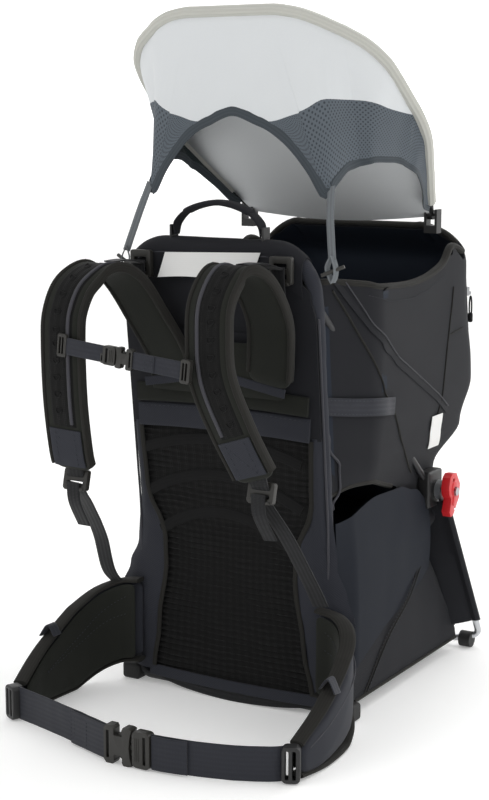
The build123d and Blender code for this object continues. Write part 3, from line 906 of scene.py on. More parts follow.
def windows(name, steps, side, lift, pitch, size, span):
    """A row of raised D-shaped windows along a course, each a low dished button."""
    first, last = (round(s * (len(steps) - 1)) for s in span)
    reach, spots = 0.0, []
    for k in range(first, last):
        step = (steps[k + 1][0] - steps[k][0]).length
        reach += step
        if reach >= pitch:
            reach -= pitch
            spots.append(steps[k])
    lots = []
    for point, along, across, out in spots:
        lot = []
        for scale, height in ((1.0, 0.0), (0.92, 1.2), (0.72, 1.3), (0.6, 0.2)):
            lot.append([
                point + across * (side + size * 0.62 * math.cos(a) * scale)
                + along * (size * max(-0.35, math.sin(a)) * 0.62 * scale) + out * (lift + height)
                for a in (math.tau * j / 14 for j in range(14))])
        lots.append(lot)
    return ringed(name, lots)


def make_pad(word, points, inner, sizes):
    """One shoulder pad with its mesh face, windows, rail, bindings and patches."""
    width, thick = sizes.pad_width * 1000, sizes.pad_thickness * 1000
    steps = course(points, (1, 0, 0), 110)
    core = band(f"shoulder_pad_core_{word}", steps, width - 5, thick - 1, square=3.4, sides=28, round_end=14)
    finish_piece(core, "harness", FINISH["foam"], [f"shoulder_pad_{word}"], angle=70)
    face = band(f"shoulder_pad_mesh_{word}", steps, 38, 4, lift=thick / 2 - 1.4, span=(0.06, 0.86),
                square=2.6)
    finish_piece(face, "harness", FINISH["spacer"])
    dots = windows(f"shoulder_pad_windows_{word}", steps, -6 * inner, thick / 2 + 0.2, 21, 10, (0.2, 0.84))
    finish_piece(dots, "harness", FINISH["tape"], angle=25)
    rail = band(f"shoulder_pad_rail_{word}", steps, 5, 4, side=inner * 13, lift=thick / 2 + 0.8,
                span=(0.24, 0.85), square=2)
    finish_piece(rail, "harness", FINISH["piping"])
    edges = [band(f"bind_{k}", steps, 7, thick + 0.6, side=k * (width / 2 - 3.5), square=2.6,
                  span=(0.03, 0.985))
             for k in (-1, 1)]
    finish_piece(joined(f"shoulder_pad_binding_{word}", edges), "harness", FINISH["binding"])
    for spot, span in (("top", (0.04, 0.17)), ("end", (0.87, 0.985))):
        patch = band(f"shoulder_pad_patch_{spot}_{word}", steps, width - 16, 2.6, lift=thick / 2 + 0.2,
                     span=span, square=5)
        finish_piece(patch, "harness", FINISH["trim"])
    low = steps[-14:-2]
    box = []
    for k in (-1, 1):
        box.append(stitches(f"box_{k}", [p + s * k * 15 + o * (thick / 2 + 1.9) for p, a, s, o in low]))
    corners = [p + s * k * 15 + o * (thick / 2 + 1.9) for k, (p, a, s, o) in ((-1, low[0]), (1, low[-1]))]
    box.append(stitches("box_cross", corners))
    finish_piece(joined(f"shoulder_pad_stitching_{word}", box), "harness", FINISH["thread"])


def ladder(name, body, centre, turns, node, size=(38, 28, 9), slots=((6, 26, 5), (-5, 26, 5))):
    """A ladder lock: a rounded frame with bars between its slots."""
    width, height, depth = size
    holes = [(moved(rounded_box(w, h, 1.2), 0, z), depth * 3) for z, w, h in slots]
    lock = plate(name, rounded_box(width, height, 3.5), depth, 1.1, holes=holes)
    lip = plate("lip", rounded_box(width * 0.8, 4.2, 1.6), depth * 0.7, 1.0)
    lip.data.transform(Matrix.Translation((0, -depth * 0.35 / 1000, (-height / 2 + 1.2) / 1000)))
    lock = joined(name, [lock, lip])
    place(lock, centre, turns)
    return finish_piece(lock, body, FINISH["plastic"], [node], angle=35)


def make_yoke():
    rows = []
    for i in range(25):
        z = 436 + 72 * i / 24
        half = 100 + 9 * i / 24
        swell = math.sin(math.pi * i / 24) ** 0.4 if 0 < i < 24 else 0.2
        ring = []
        for j in range(48):
            a = math.tau * (j + 0.5) / 48
            c, s = math.cos(a), math.sin(a)
            x = half * math.copysign(abs(c) ** 0.35, c)
            y = panel_y(z) - 16.4 + 4.5 * swell * math.copysign(abs(s) ** 0.6, s)
            ring.append(Vector((x, y, z)))
        rows.append(ring)
    piece = skin("yoke_pad", rows, closed=True, caps=True)
    finish_piece(piece, "harness", FINISH["foam"], ["yoke_plate"], angle=60)
    straps = []
    for sign in (-1, 1):
        for a, b, wide in (((18, 503), (112, 476), 13), ((16, 462), (108, 446), 12)):
            points = [(sign * (a[0] + (b[0] - a[0]) * t), panel_y(450) - 22.3, a[1] + (b[1] - a[1]) * t)
                      for t in (0, 0.5, 1)]
            straps.append(band(f"yoke_{sign}_{wide}", course(points, (0, 0, 1), 12), wide, 2.4))
    finish_piece(joined("yoke_straps", straps), "harness", FINISH["trim"])


class CARRIER_OT_harness(bpy.types.Operator):
    """Shoulder harness: yoke, two pads, load lifters, lower straps and their locks"""
    bl_idname = "carrier.harness"
    bl_label = "Shoulder harness"

    def execute(self, context):
        sizes = context.scene.carrier_sizes
        make_yoke()
        make_pad("left", PAD_LEFT, -1, sizes)
        make_pad("right", PAD_RIGHT, 1, sizes)
        ladder("lower_lock_left", "strap_adjuster_left", (118, -117.6, 332.4), [("X", -14)],
               "lower_adjuster_left")
        ladder("lower_lock_right", "strap_adjuster_right", (-157, -136, 322), [("X", -14)],
               "lower_adjuster_right")
        for word, line in (("left", [(115, -127, 362), (117, -124, 346), (118, -118.5, 335)]),
                           ("right", [(-155, -144, 352), (-156, -141, 337), (-157, -137, 325)])):
            tab = band(f"strap_anchor_{word}", course(line, (1, 0, 0), 16), 26, 4)
            finish_piece(tab, "harness", FINISH["webbing_black"])
        for word, sign in (("left", 1), ("right", -1)):
            ladder(f"lifter_lock_{word}", f"lifter_buckle_{word}", (sign * 107, -51, 606), [],
                   f"load_lifter_buckle_{word}", (32, 36, 8), ((5.5, 19, 7), (-8, 19, 7)))
        width = sizes.strap_webbing * 1000
        down = {
            "left": [(118, -121, 330), (121, -110, 312), (134, -84, 270), (146, -46, 206), (154, -26, 166)],
            "right": [(-157, -139, 318), (-160, -126, 302), (-168, -98, 276), (-177, -58, 226),
                      (-182, -32, 170), (-178, -8, 142)]}
        for word, points in down.items():
            strap = band(f"lower_strap_{word}", course(points, (1, 0, 0), 60), width, 2.2, wrinkle=0.4)
            finish_piece(strap, None, FINISH["webbing_black"], ["lower_straps"])
            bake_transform(strap)
            tail = [(points[0][0], points[0][1] - 6, points[0][2] + 2),
                    (points[0][0], points[0][1] - 3, points[0][2] - 26),
                    (points[1][0] + 2, points[1][1] + 6, points[0][2] - 62)]
            end = band(f"strap_tail_{word}", course(tail, (1, 0, 0), 20), width - 4, 2)
            finish_piece(end, f"strap_adjuster_{word}", FINISH["webbing_black"])
        lifters = {"left": ((86, -110, 617), (95, -86, 617), (106, -58, 608)),
                   "right": ((-117, -112, 612), (-111, -86, 613), (-107, -58, 607))}
        for word, points in lifters.items():
            strap = band(f"load_lifter_{word}", course(points, (1, 0, 0), 24), 20, 2)
            finish_piece(strap, None, FINISH["webbing_black"], ["load_lifter_straps"])
            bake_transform(strap)
            x = points[2][0]
            loop = [(x, -57, 611), (x, -58.5, 600), (x, -57, 586), (x, -54, 570), (x, -49, 556)]
            piece = band(f"lifter_loop_{word}", course(loop, (1, 0, 0), 24), 19, 3, wrinkle=0.5)
            finish_piece(piece, "frame", FINISH["webbing_black"])
        return {"FINISHED"}


# ---- Chest strap and hip belt buckles ----

def buckle_socket(name, length, height, thick):
    """A side-release socket: its mouth at zero, its body towards +X, with finger windows."""
    h = height / 2
    outline = [(0, -h * 0.94), (length * 0.12, -h), (length * 0.3, -h), (length * 0.36, -h * 0.8),
               (length * 0.62, -h * 0.8), (length * 0.68, -h), (length * 0.92, -h), (length, -h * 0.82),
               (length, h * 0.82), (length * 0.92, h), (length * 0.68, h), (length * 0.62, h * 0.8),
               (length * 0.36, h * 0.8), (length * 0.3, h), (length * 0.12, h), (0, h * 0.94),
               (length * 0.07, h * 0.5), (length * 0.1, 0), (length * 0.07, -h * 0.5)]
    slot = moved(rounded_box(length * 0.1, height * 0.72, 0.8), length * 0.86, 0)
    side = moved(rounded_box(length * 0.3, height * 0.16, 1.0), length * 0.49, h * 0.66)
    other = moved(rounded_box(length * 0.3, height * 0.16, 1.0), length * 0.49, -h * 0.66)
    return plate(name, outline, thick, thick * 0.16,
                 holes=[(slot, thick * 3), (side, thick * 3), (other, thick * 3)])


def buckle_plug(name, length, height, thick, reach):
    """The plug: a body behind zero, a guide tongue and two springing arms ahead of it."""
    h = height / 2
    body = plate(name, moved(rounded_box(length, height * 0.94, height * 0.12), -length / 2 - 0.5, 0), thick,
                 thick * 0.16,
                 holes=[(moved(rounded_box(length * 0.16, height * 0.72, 0.8), -length * 0.72, 0),
                         thick * 3)])
    ridge = [plate(f"ridge_{k}", moved(rounded_box(1.2, height * 0.6, 0.5), -length * 0.2 - k * 2.6, 0),
                   thick + 1.4, 0.4)
             for k in range(3)]
    tongues = [plate("tongue", moved(rounded_box(reach, height * 0.12, height * 0.05), reach / 2 - 1, 0),
                     thick * 0.44, 0.5)]
    for k in (-1, 1):
        arm = [(-1, k * h * 0.42), (reach * 0.55, k * h * 0.5), (reach * 0.62, k * h * 0.74),
               (reach * 0.86, k * h * 0.6), (reach * 0.8, k * h * 0.36), (-1, k * h * 0.24)]
        tongues.append(plate(f"arm_{k}", arm if k > 0 else arm[::-1], thick * 0.42, 0.5))
    return joined(name, [body, *ridge, *tongues])


STERNUM = (-60, -177, 499)
STERNUM_TILT = 5.9


def on_sternum(x, y=0.0, z=0.0):
    """A point along the chest strap, from the buckle's mouth."""
    a = math.radians(STERNUM_TILT)
    return (STERNUM[0] + x * math.cos(a) + z * math.sin(a), STERNUM[1] + y,
            STERNUM[2] - x * math.sin(a) + z * math.cos(a))


class CARRIER_OT_sternum(bpy.types.Operator):
    """Chest strap: webbing, rail sliders and its small side-release buckle"""
    bl_idname = "carrier.sternum"
    bl_label = "Chest strap"

    def execute(self, context):
        width = context.scene.carrier_sizes.sternum_webbing * 1000
        socket = place(buckle_socket("chest_buckle_socket", 26, 27, 9), STERNUM, [("Y", STERNUM_TILT)])
        finish_piece(socket, "sternum_strap", FINISH["plastic"], ["sternum_socket"], angle=35)
        plug = buckle_plug("chest_buckle_plug", 19, 26, 9, 16)
        whistle = plate("whistle", moved(rounded_box(7, 13, 2.5), -20.5, -5), 6, 1.6,
                        holes=[(moved(rounded_box(2.2, 7, 0.8), -21, -5), 20)])
        plug = place(joined("chest_buckle_plug", [plug, whistle]), STERNUM, [("Y", STERNUM_TILT)])
        finish_piece(plug, "sternum_buckle_plug", FINISH["plastic"], ["sternum_plug"],
                     angle=35)
        across = Vector((math.sin(math.radians(STERNUM_TILT)), 0, math.cos(math.radians(STERNUM_TILT))))
        line = [on_sternum(22.5, 0.5), on_sternum(50, -0.6), on_sternum(75, 0.6), on_sternum(102, 1)]
        piece = band("chest_webbing_left", course(line, across, 30), width, 2, wrinkle=0.5)
        finish_piece(piece, "sternum_strap", FINISH["webbing"], ["sternum_webbing_left"])
        fold = [on_sternum(24, -1.8), on_sternum(40, -2.4), on_sternum(58, -1.8)]
        piece = band("chest_webbing_fold", course(fold, across, 12), width - 1, 1.8)
        finish_piece(piece, "sternum_strap", FINISH["webbing"])
        line = [on_sternum(-83), on_sternum(-60, -0.8), on_sternum(-36, -0.6), on_sternum(-15)]
        piece = band("chest_webbing_right", course(line, across, 30), width, 2.4, wrinkle=0.4)
        finish_piece(piece, None, FINISH["webbing"], ["sternum_webbing_right"])
        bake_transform(piece)
        runs = []
        for x in (44, 56):
            runs.append(stitches(f"bar_{x}", [on_sternum(x, -3.4, -8), on_sternum(x, -3.4, 8)], 2.4, 1.4))
        runs.append(stitches("bar_cross", [on_sternum(44, -3.4, -8), on_sternum(56, -3.4, 8)], 2.4, 1.4))
        finish_piece(joined("chest_webbing_stitching", runs), "sternum_strap", FINISH["thread"])
        sliders = []
        for x, deep, y in ((105, 8, 0), (-86, 5, 0)):
            holes = [(moved(rounded_box(2.6, 22, 0.8), k, 0), 30) for k in (-3, 1.5)]
            body = plate(f"slider_{x}", rounded_box(14, 30, 3), deep, 1.2, holes=holes)
            sliders.append(place(body, on_sternum(x, y), [("Y", STERNUM_TILT)]))
        finish_piece(joined("chest_rail_sliders", sliders), "sternum_strap", FINISH["plastic"],
                     ["sternum_sliders"], angle=35)
        return {"FINISHED"}


WING = [(138, -11, 98, 124), (174, -14, 92, 124), (200, -38, 80, 124), (214, -78, 61, 120),
        (219, -142, 41, 84), (213, -199, 25, 48)]


class CARRIER_OT_hip_belt(bpy.types.Operator):
    """Hip belt: two padded wings, their bindings and pocket, webbing and the buckle"""
    bl_idname = "carrier.hip_belt"
    bl_label = "Hip belt"

    def execute(self, context):
        points = [p[:3] for p in WING]
        steps = course(points, (0, 0, 1), 70, level=True)
        reach = [0.0]
        for a, b in zip(points, points[1:]):
            reach.append(reach[-1] + (Vector(b) - Vector(a)).length)
        height = [(r / reach[-1], p[3]) for r, p in zip(reach, WING)]
        shrunk = [(r, h - 8) for r, h in height]
        liner = [(r, h - 16) for r, h in height]
        edge = [(r, h / 2 - 4) for r, h in height]
        for word, sign in (("left", 1), ("right", -1)):
            wing = band(f"hip_wing_pad_{word}", steps, shrunk, 13, square=3.2, sides=32, round_end=14)
            if sign < 0:
                wing = flipped(wing)
            puff(wing, 4, 3.0)
            finish_piece(wing, "frame", FINISH["trim"], [f"hip_wing_{word}"], angle=70)
            parts = [
                (f"hip_wing_liner_{word}", "foam", "soft_lining",
                 [band("liner", steps, liner, 5, lift=10.4, square=3, sides=24, span=(0.03, 0.98),
                       round_end=8, wrinkle=1.0)]),
                (f"hip_wing_binding_{word}", "binding", "webbing",
                 [band("edge_high", steps, 7, 21, side=edge, square=2.4, span=(0.02, 0.985)),
                  band("edge_low", steps, 7, 21, side=[(r, -s) for r, s in edge], square=2.4,
                       span=(0.02, 0.985))]),
            ]
            swoosh = []
            for lane in (0.55, 0.1):
                row = [p + s * (straight(height, k / 69) * 0.5 * lane * (1 - 1.2 * k / 69) + 6) + o * 13.2
                       for k, (p, a, s, o) in enumerate(steps)][6:60]
                swoosh.append(stitches(f"lane_{lane}", row[::6], 3.2, 2.4, 1.0))
            parts.append((f"hip_wing_stitching_{word}", "thread", "webbing", swoosh))
            tab = [steps[46][0] + steps[46][2] * 46 + steps[46][3] * 12, steps[46][0] + steps[46][2] * 60,
                   steps[47][0] + steps[47][2] * 44 - steps[47][3] * 12]
            parts.append((f"hip_wing_tab_{word}", "webbing", "webbing",
                          [band("tab", course(tab, steps[46][1], 16), 16, 2)]))
            seam = [p + s * (straight(height, k / 69) * 0.16) - o * 10.2
                    for k, (p, a, s, o) in enumerate(steps)][4:66]
            parts.append((f"hip_wing_seam_{word}", "piping", "webbing",
                          [cord_line("seam", seam[::6], 1.8, 40)]))
            if word == "left":
                mesh = band("mesh_pocket", steps, [(0, 70), (1, 40)], 3, lift=13.6, span=(0.5, 0.94),
                            square=3, round_end=10, sides=24)
                parts.append(("hip_pocket_mesh", "spacer", "back_mesh", [mesh]))
                rim = [p + s * 37 * math.cos(a) + o * 14.5 for a, (p, _, s, o) in
                       ((math.pi * k / 20, steps[36 + k]) for k in range(21))]
                parts.append(("hip_pocket_binding", "binding", "webbing",
                              [cord_line("pocket_rim", rim[::2], 6, 40)]))
            for name, finish, slot, group in parts:
                piece = joined(name, group)
                if sign < 0:
                    piece = flipped(piece)
                finish_piece(piece, "frame", FINISH[finish])
        width = context.scene.carrier_sizes.belt_webbing * 1000
        sliders = []
        for sign in (-1, 1):
            body = plate(f"pod_{sign}", rounded_box(23, 46, 6), 17, 4,
                         holes=[(moved(rounded_box(4, 36, 1.5), k, 0), 40) for k in (-5, 4)])
            sliders.append(place(body, (sign * 213, -208, 24.5), [("Z", sign * 24)]))
        finish_piece(joined("belt_end_sliders", sliders), "frame", FINISH["plastic_black"],
                     ["belt_sliders"], angle=35)
        left = [(206, -210, 24.5), (190, -223, 24.5), (150, -242, 24.5), (96, -256, 24.5), (40, -263, 24.5)]
        piece = band("belt_webbing_long", course(left, (0, 0, 1), 60, True), width, 2.4, wrinkle=0.8)
        finish_piece(piece, None, FINISH["webbing"], ["belt_webbing_left"])
        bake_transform(piece)
        right = [(-204, -209, 24.5), (-188, -213, 24.5), (-150, -223, 24.5), (-80, -243, 24.5),
                 (-20, -262, 24.5)]
        piece = band("belt_webbing_short", course(right, (0, 0, 1), 60, True), width, 2.4, wrinkle=0.8)
        finish_piece(piece, "frame", FINISH["webbing"], ["belt_webbing_right"])
        folds = [((-22, -265, 24.5), (-52, -256, 24.5), (-92, -243.6, 24.5)), ]
        piece = band("belt_webbing_fold", course(folds[0], (0, 0, 1), 24, True), width - 1, 2.4, wrinkle=0.6)
        finish_piece(piece, "frame", FINISH["webbing"])
        piece = band("belt_webbing_double", course(((48, -266, 24.5), (70, -264.3, 24.5), (96, -259.6, 24.5)),
                                                   (0, 0, 1), 20, True), width - 1, 2.2, wrinkle=0.6)
        finish_piece(piece, "belt_buckle_plug", FINISH["webbing"])
        runs = [stitches(f"belt_{k}", [(x, y, 24.5 - 17), (x, y, 24.5 + 17)], 3, 1.6) for k, (x, y) in
                enumerate(((-84, -247.6), (-60, -255.2), (-90, -245.8)))]
        finish_piece(joined("belt_webbing_stitching", runs), "frame", FINISH["thread"])
        socket = place(buckle_socket("belt_buckle_socket", 42, 50, 14), (20, -263, 25), [("Z", 180)])
        finish_piece(socket, "frame", FINISH["plastic"], ["belt_socket"], angle=35)
        plug = place(buckle_plug("belt_buckle_plug_part", 26, 50, 14, 26), (20, -263, 25), [("Z", 180)])
        finish_piece(plug, "belt_buckle_plug", FINISH["plastic"], ["belt_plug"], angle=35)
        return {"FINISHED"}


def flipped(piece):
    """Move a piece to the other side, in place."""
    piece.data.transform(Matrix.Scale(-1, 4, (1, 0, 0)))
    piece.data.flip_normals()
    return piece


# ---- Cockpit ----

STATIONS = [(222, 150, 338), (256, 152, 350), (290, 158, 380), (346, 170, 445), (410, 177, 468),
            (586, 183, 426), (672, 178, 350)]
RIM = [(-90, 590), (20, 588), (96, 576), (180, 572), (237, 577), (300, 592), (340, 622), (372, 657),
       (420, 666)]
LEG_ARCH = [(-60, 276), (26, 304), (70, 313), (114, 309), (193, 285), (237, 250), (276, 233), (300, 224)]


def rounded_path(corners, radii, arc_steps, run_steps):
    """Points along straight runs joined by arcs, always the same number of them."""
    corners = [Vector((x, y, 0)) for x, y in corners]
    path, last = [], corners[0]
    for k in range(1, len(corners) - 1):
        p, a, b = corners[k], corners[k - 1], corners[k + 1]
        u, v = (a - p).normalized(), (b - p).normalized()
        half = math.acos(max(-1, min(1, u.dot(v)))) / 2
        cut = radii[k - 1] / math.tan(half)
        start, stop = p + u * cut, p + v * cut
        for i in range(run_steps[k - 1]):
            path.append(last.lerp(start, i / run_steps[k - 1]))
        centre = p + (u + v).normalized() * radii[k - 1] / math.sin(half)
        for i in range(arc_steps + 1):
            way = (start - centre).lerp(stop - centre, i / arc_steps)
            path.append(centre + way.normalized() * radii[k - 1])
        last = stop
    for i in range(run_steps[-1] + 1):
        path.append(last.lerp(corners[-1], i / run_steps[-1]))
    return path


def outline_at(z):
    """The cockpit's left half outline at a height, from the frame round to the middle of the rear."""
    z = max(STATIONS[0][0], min(STATIONS[-1][0], z))
    side = between([(s[0], s[1]) for s in STATIONS], z)
    rear = between([(s[0], s[2]) for s in STATIONS], z)
    front = panel_y(z) + 20
    corners = [(118, front - 1), (140, front), (side, front + 90), (side - 12, rear), (0, rear)]
    return rounded_path(corners, [12, 80, 60], 8, [2, 4, 16, 14])


def wall_columns():
    """For each step round the half outline, its lowest and highest level."""
    count = len(outline_at(400))
    spans = []
    for j in range(count):
        top, low = 600.0, 280.0
        for _ in range(12):
            top = between(RIM, outline_at(top)[j].y)
            y = outline_at(low)[j].y
            low = straight(LEG_ARCH, y)
        spans.append((low, top))
    return spans


def wall_point(y, z, out=0.0):
    """The point on the left wall at a depth and height, moved outwards by out."""
    path = outline_at(z)
    best = min(range(3, len(path) - 12), key=lambda j: abs(path[j].y - y))
    a, b = path[best], path[best + 1 if path[best].y < y else best - 1]
    t = 0 if abs(b.y - a.y) < 1e-6 else max(0.0, min(1.0, (y - a.y) / (b.y - a.y)))
    spot = a.lerp(b, t)
    way = (path[best + 1] - path[best - 1]).normalized()
    spot = spot + Vector((way.y, -way.x, 0)) * (out + wall_swell(spot, z))
    return Vector((spot.x, spot.y, z))


def wall_swell(spot, z):
    """How far the padded wall stands out, with soft wrinkles."""
    p = (spot.x, spot.y, z)
    return 1.4 * ripple(p, 90, 2) + 0.3 * ripple(p, 34, 4)


def make_cockpit_walls():
    spans = wall_columns()
    levels = 56
    halves = []
    for i in range(levels):
        t = i / (levels - 1)
        row = []
        for j, (low, top) in enumerate(spans):
            z = low + (top - low) * t
            path = outline_at(z)
            a, b = path[max(j - 1, 0)], path[min(j + 1, len(path) - 1)]
            way = (b - a).normalized()
            spot = path[j] + Vector((way.y, -way.x, 0)) * wall_swell(path[j], z)
            row.append(Vector((spot.x, spot.y, z)))
        halves.append(row)
    rows = [row + [Vector((-p.x, p.y, p.z)) for p in reversed(row[:-1])] for row in halves]
    piece = walls(skin("cockpit_walls", rows), 8, inner=True)
    # The inner faces take the lighter cockpit taffeta: painted light inside the shaded cockpit.
    finish_piece(piece, "frame", FINISH["pack"], ["cockpit_shell"],
                 inner=FINISH["cockpit_painted_light_lining"])
    rim = [rows[-1][j] for j in range(0, len(rows[-1]), 3)]
    hem = band("cockpit_rim_binding", course([p + Vector((0, 0, 0.5)) for p in rim], (0, 0, 1), 200), 9, 11,
               square=2.4, lift=-4)
    finish_piece(hem, "frame", FINISH["binding"])
    arch = [rows[0][j] for j in range(1, 30, 2)]
    edge = cord_line("leg_edge_left", [p + Vector((-4, 0, 0)) for p in arch], 10, 80)
    for piece in (edge, mirrored(edge, "leg_edge_right")):
        finish_piece(piece, "frame", FINISH["binding"])
    floor = []
    for i in range(15):
        y = 262 + (336 - 262) * i / 14
        half = 138 - 30 * max(0.0, (y - 300) / 36) ** 2
        floor.append([Vector((half * (2 * j / 24 - 1), y, 225 - 2 * math.sin(math.pi * j / 24)))
                      for j in range(25)])
    floor = walls(skin("cockpit_floor", floor), 4, offset=0)
    finish_piece(floor, "frame", FINISH["lining"])


def seam_on_wall(name, points, thick, kind="cord", finish="binding", out=0.6, width=6.0):
    """A seam, piping or tape laid on both side walls through points of (y, z)."""
    line = []
    for (y0, z0), (y1, z1) in zip(points, points[1:]):
        for k in range(6):
            line.append(wall_point(y0 + (y1 - y0) * k / 6, z0 + (z1 - z0) * k / 6, out))
    line.append(wall_point(*points[-1], out))
    if kind == "cord":
        left = cord_line(name + "_left", line[::2] + ([line[-1]] if len(line) % 2 == 0 else []), thick, 70)
    elif kind == "stitch":
        left = stitches(name + "_left", line[::3], 3.6, 2.6, thick)
    else:
        outs = Vector((1, 0, 0))
        along = (line[-1] - line[0]).normalized()
        left = band(name + "_left", course(line[::2], outs.cross(along), 40), width, thick, square=4)
    right = mirrored(left, name + "_right")
    for piece in (left, right):
        finish_piece(piece, "frame", FINISH[finish])


def make_wall_trim():
    seam_on_wall("front_piping", [(6, 578), (30, 545), (47, 520), (80, 475), (112, 432), (140, 402),
                                  (201, 330), (244, 296)],
                 3.0, finish="binding")
    seam_on_wall("shoulder_tape", [(10, 590), (30, 566), (70, 523), (110, 495), (146, 470), (220, 434),
                                   (296, 397), (338, 374)],
                 1.4, "tape", "pack", 0.6, 11)
    seam_on_wall("shoulder_seam", [(24, 588), (70, 530), (146, 477), (220, 441), (296, 403), (338, 380)], 1.8,
                 finish="piping", out=1.6)
    seam_on_wall("corner_seam", [(332, 556), (326, 485), (318, 440), (310, 399), (302, 360)], 2.2)
    seam_on_wall("corner_cross_seam", [(326, 485), (350, 488), (380, 491)], 1.8)
    seam_on_wall("rim_stitching", [(60, 568), (110, 556), (180, 553), (240, 560), (300, 577)], 0.9,
                 "stitch", "thread", 0.8)
    seam_on_wall("frame_curve_piping", [(8, 398), (31, 348), (37, 312), (28, 284)], 3.4, finish="piping",
                 out=2)
    left = [wall_point(5, 426, 2.5), wall_point(50, 420, 4), wall_point(92, 416, 4), wall_point(134, 411, 3)]
    band_left = band("side_band_left", course(left, (0, 0, 1), 40), 24, 2.6, wrinkle=0.7)
    right = mirrored(band_left, "side_band_right")
    for piece in (band_left, right):
        finish_piece(piece, "frame", FINISH["webbing"], ["side_bands"])
    runs = []
    for z in (-9, 9):
        runs.append(stitches(f"side_{z}", [p + Vector((2.6, 0, z)) for p in left], 3.4, 2.6))
    left = joined("side_band_stitching_left", runs)
    for piece in (left, mirrored(left, "side_band_stitching_right")):
        finish_piece(piece, "frame", FINISH["thread"])
    flap = []
    for i in range(13):
        t = i / 12
        row = []
        for j in range(9):
            s = j / 8
            top = Vector((151 + 5 * t, 250 + 68 * t, 245 - 14 * t))
            low = Vector((158 + 3 * t, 246 + 78 * t, 197 + 16 * t - 4 * math.sin(math.pi * t)))
            spot = top.lerp(low, s)
            spot.x += 5 * math.sin(math.pi * s) + 1.5 * math.sin(5 * t)
            row.append(spot)
        flap.append(row)
    left = walls(skin("leg_flap_left", flap), 2.4)
    outwards(left)
    for piece in (left, mirrored(left, "leg_flap_right")):
        finish_piece(piece, "frame", FINISH["pack"])
    tag = []
    for i in range(9):
        z = 386 - 48 * i / 8
        base = wall_point(300, z - 14, 2.4)
        tag.append([base + Vector((0.6 * math.sin(i), 36 * (j / 4 - 0.5), 0)) for j in range(5)])
    tag = walls(skin("side_label", tag), 0.8)
    outwards(tag)
    finish_piece(tag, "frame", FINISH["label"])


def make_drool_pad():
    rows = []
    for i in range(25):
        t = i / 24
        x = 104 * (2 * t - 1)
        swell = math.sqrt(max(0.0, 1 - abs(2 * t - 1) ** 5))
        ring = []
        for j in range(24):
            a = math.tau * j / 24
            c, s = math.cos(a), math.sin(a)
            y = 11 + (3 + 7 * swell) * math.copysign(abs(c) ** 0.8, c)
            z = 596 - 4 * abs(2 * t - 1) ** 2 + (8 + 22 * swell) * math.copysign(abs(s) ** 0.8, s)
            ring.append(Vector((x, y, z)))
        rows.append(ring)
    piece = skin("drool_pad_cushion", rows, closed=True, caps=True)
    puff(piece, 4)
    finish_piece(piece, "frame", FINISH["pack_object"], ["drool_pad"], angle=70)
    points = [(-98, 14, 606), (-60, 20, 622), (0, 21, 626), (60, 20, 622), (98, 14, 606)]
    finish_piece(cord_line("drool_pad_piping", points, 2.6, 50), "frame", FINISH["piping"])


class CARRIER_OT_cockpit(bpy.types.Operator):
    """Child's compartment: padded walls, rim, seams, side bands, flaps and drool pad"""
    bl_idname = "carrier.cockpit"
    bl_label = "Child's compartment"

    def execute(self, context):
        make_cockpit_walls()
        make_wall_trim()
        make_drool_pad()
        return {"FINISHED"}


class CARRIER_OT_seat(bpy.types.Operator):
    """Child's seat: padded saddle and back, harness straps and buckle"""
    bl_idname = "carrier.seat"
    bl_label = "Child's seat"

    def execute(self, context):
        def cushion(name, x, y, z, node, square):
            rows = []
            for i in range(21):
                t = 2 * i / 20 - 1
                swell = max(0.12, (1 - abs(t) ** 6) ** 0.5)
                ring = []
                for j in range(28):
                    a = math.tau * (j + 0.5) / 28
                    c, s = math.cos(a), math.sin(a)
                    deep = (y[1] - y[0]) / 2 * 0.96 * math.copysign(abs(c) ** square, c)
                    tall = (z[1] - z[0]) / 2 * 0.9 * swell * math.copysign(abs(s) ** square, s)
                    ring.append(Vector((x * 0.97 * t, (y[0] + y[1]) / 2 + deep, (z[0] + z[1]) / 2 + tall)))
                rows.append(ring)
            piece = skin(name, rows, closed=True, caps=True)
            puff(piece, 4)
            finish_piece(piece, "child_seat", FINISH["pack_object"], [node], angle=70)
        cushion("seat_cushion", 78, (110, 344), (287, 309), "seat_pad", 0.5)
        cushion("seat_back_cushion", 84, (346, 363), (314, 498), "seat_back_pad", 0.6)
        straps = []
        for side in (-1, 1):
            points = [(side * 46, 343, 486), (side * 43, 322, 484), (side * 34, 290, 452),
                      (side * 14, 262, 402)]
            straps.append(band(f"strap_{side}", course(points, (1, 0, 0), 40), 20, 2, wrinkle=0.5))
            pad = band(f"sleeve_{side}", course(points, (1, 0, 0), 40), 30, 7, lift=0, span=(0.25, 0.75),
                       square=3, round_end=5)
            finish_piece(pad, "child_seat", FINISH["foam"])
            pad.name = f"child_strap_pad_{'left' if side > 0 else 'right'}"
        straps.append(band("crotch", course([(0, 254, 378), (0, 222, 350), (0, 196, 324), (0, 180, 313)],
                                            (1, 0, 0), 30),
                           20, 2))
        finish_piece(joined("child_straps", straps), "child_seat", FINISH["webbing_black"],
                     ["child_harness_straps"])
        buckle = plate("child_buckle_body", rounded_box(48, 20, 6), 10, 2.4,
                       holes=[(moved(rounded_box(4, 12, 1), k, 0), 30) for k in (-17, 17)])
        button = plate("button", rounded_box(14, 10, 4), 12, 1.2)
        place(joined("child_buckle_body", [buckle, button]), (0, 257, 390))
        finish_piece(bpy.data.objects["child_buckle_body"], "child_seat", FINISH["plastic"],
                     ["child_buckle"], angle=35)
        return {"FINISHED"}


# ---- Storage compartment ----

BAG_TOP = [(28, 74), (80, 104), (150, 138), (220, 168), (266, 187), (296, 206), (316, 214), (340, 150),
           (360, 88), (371, 40)]


def bag_half(z):
    return 175 - 29 * (z - 18) / 217


def bag_side(y, z, out=0.0):
    """A point on the bag's left side."""
    bulge = 3 * math.sin(math.pi * (y - 30) / 345) * math.sin(math.pi * min(1, (z - 18) / 190))
    return Vector((bag_half(z) - 2 + bulge + out, y, z))


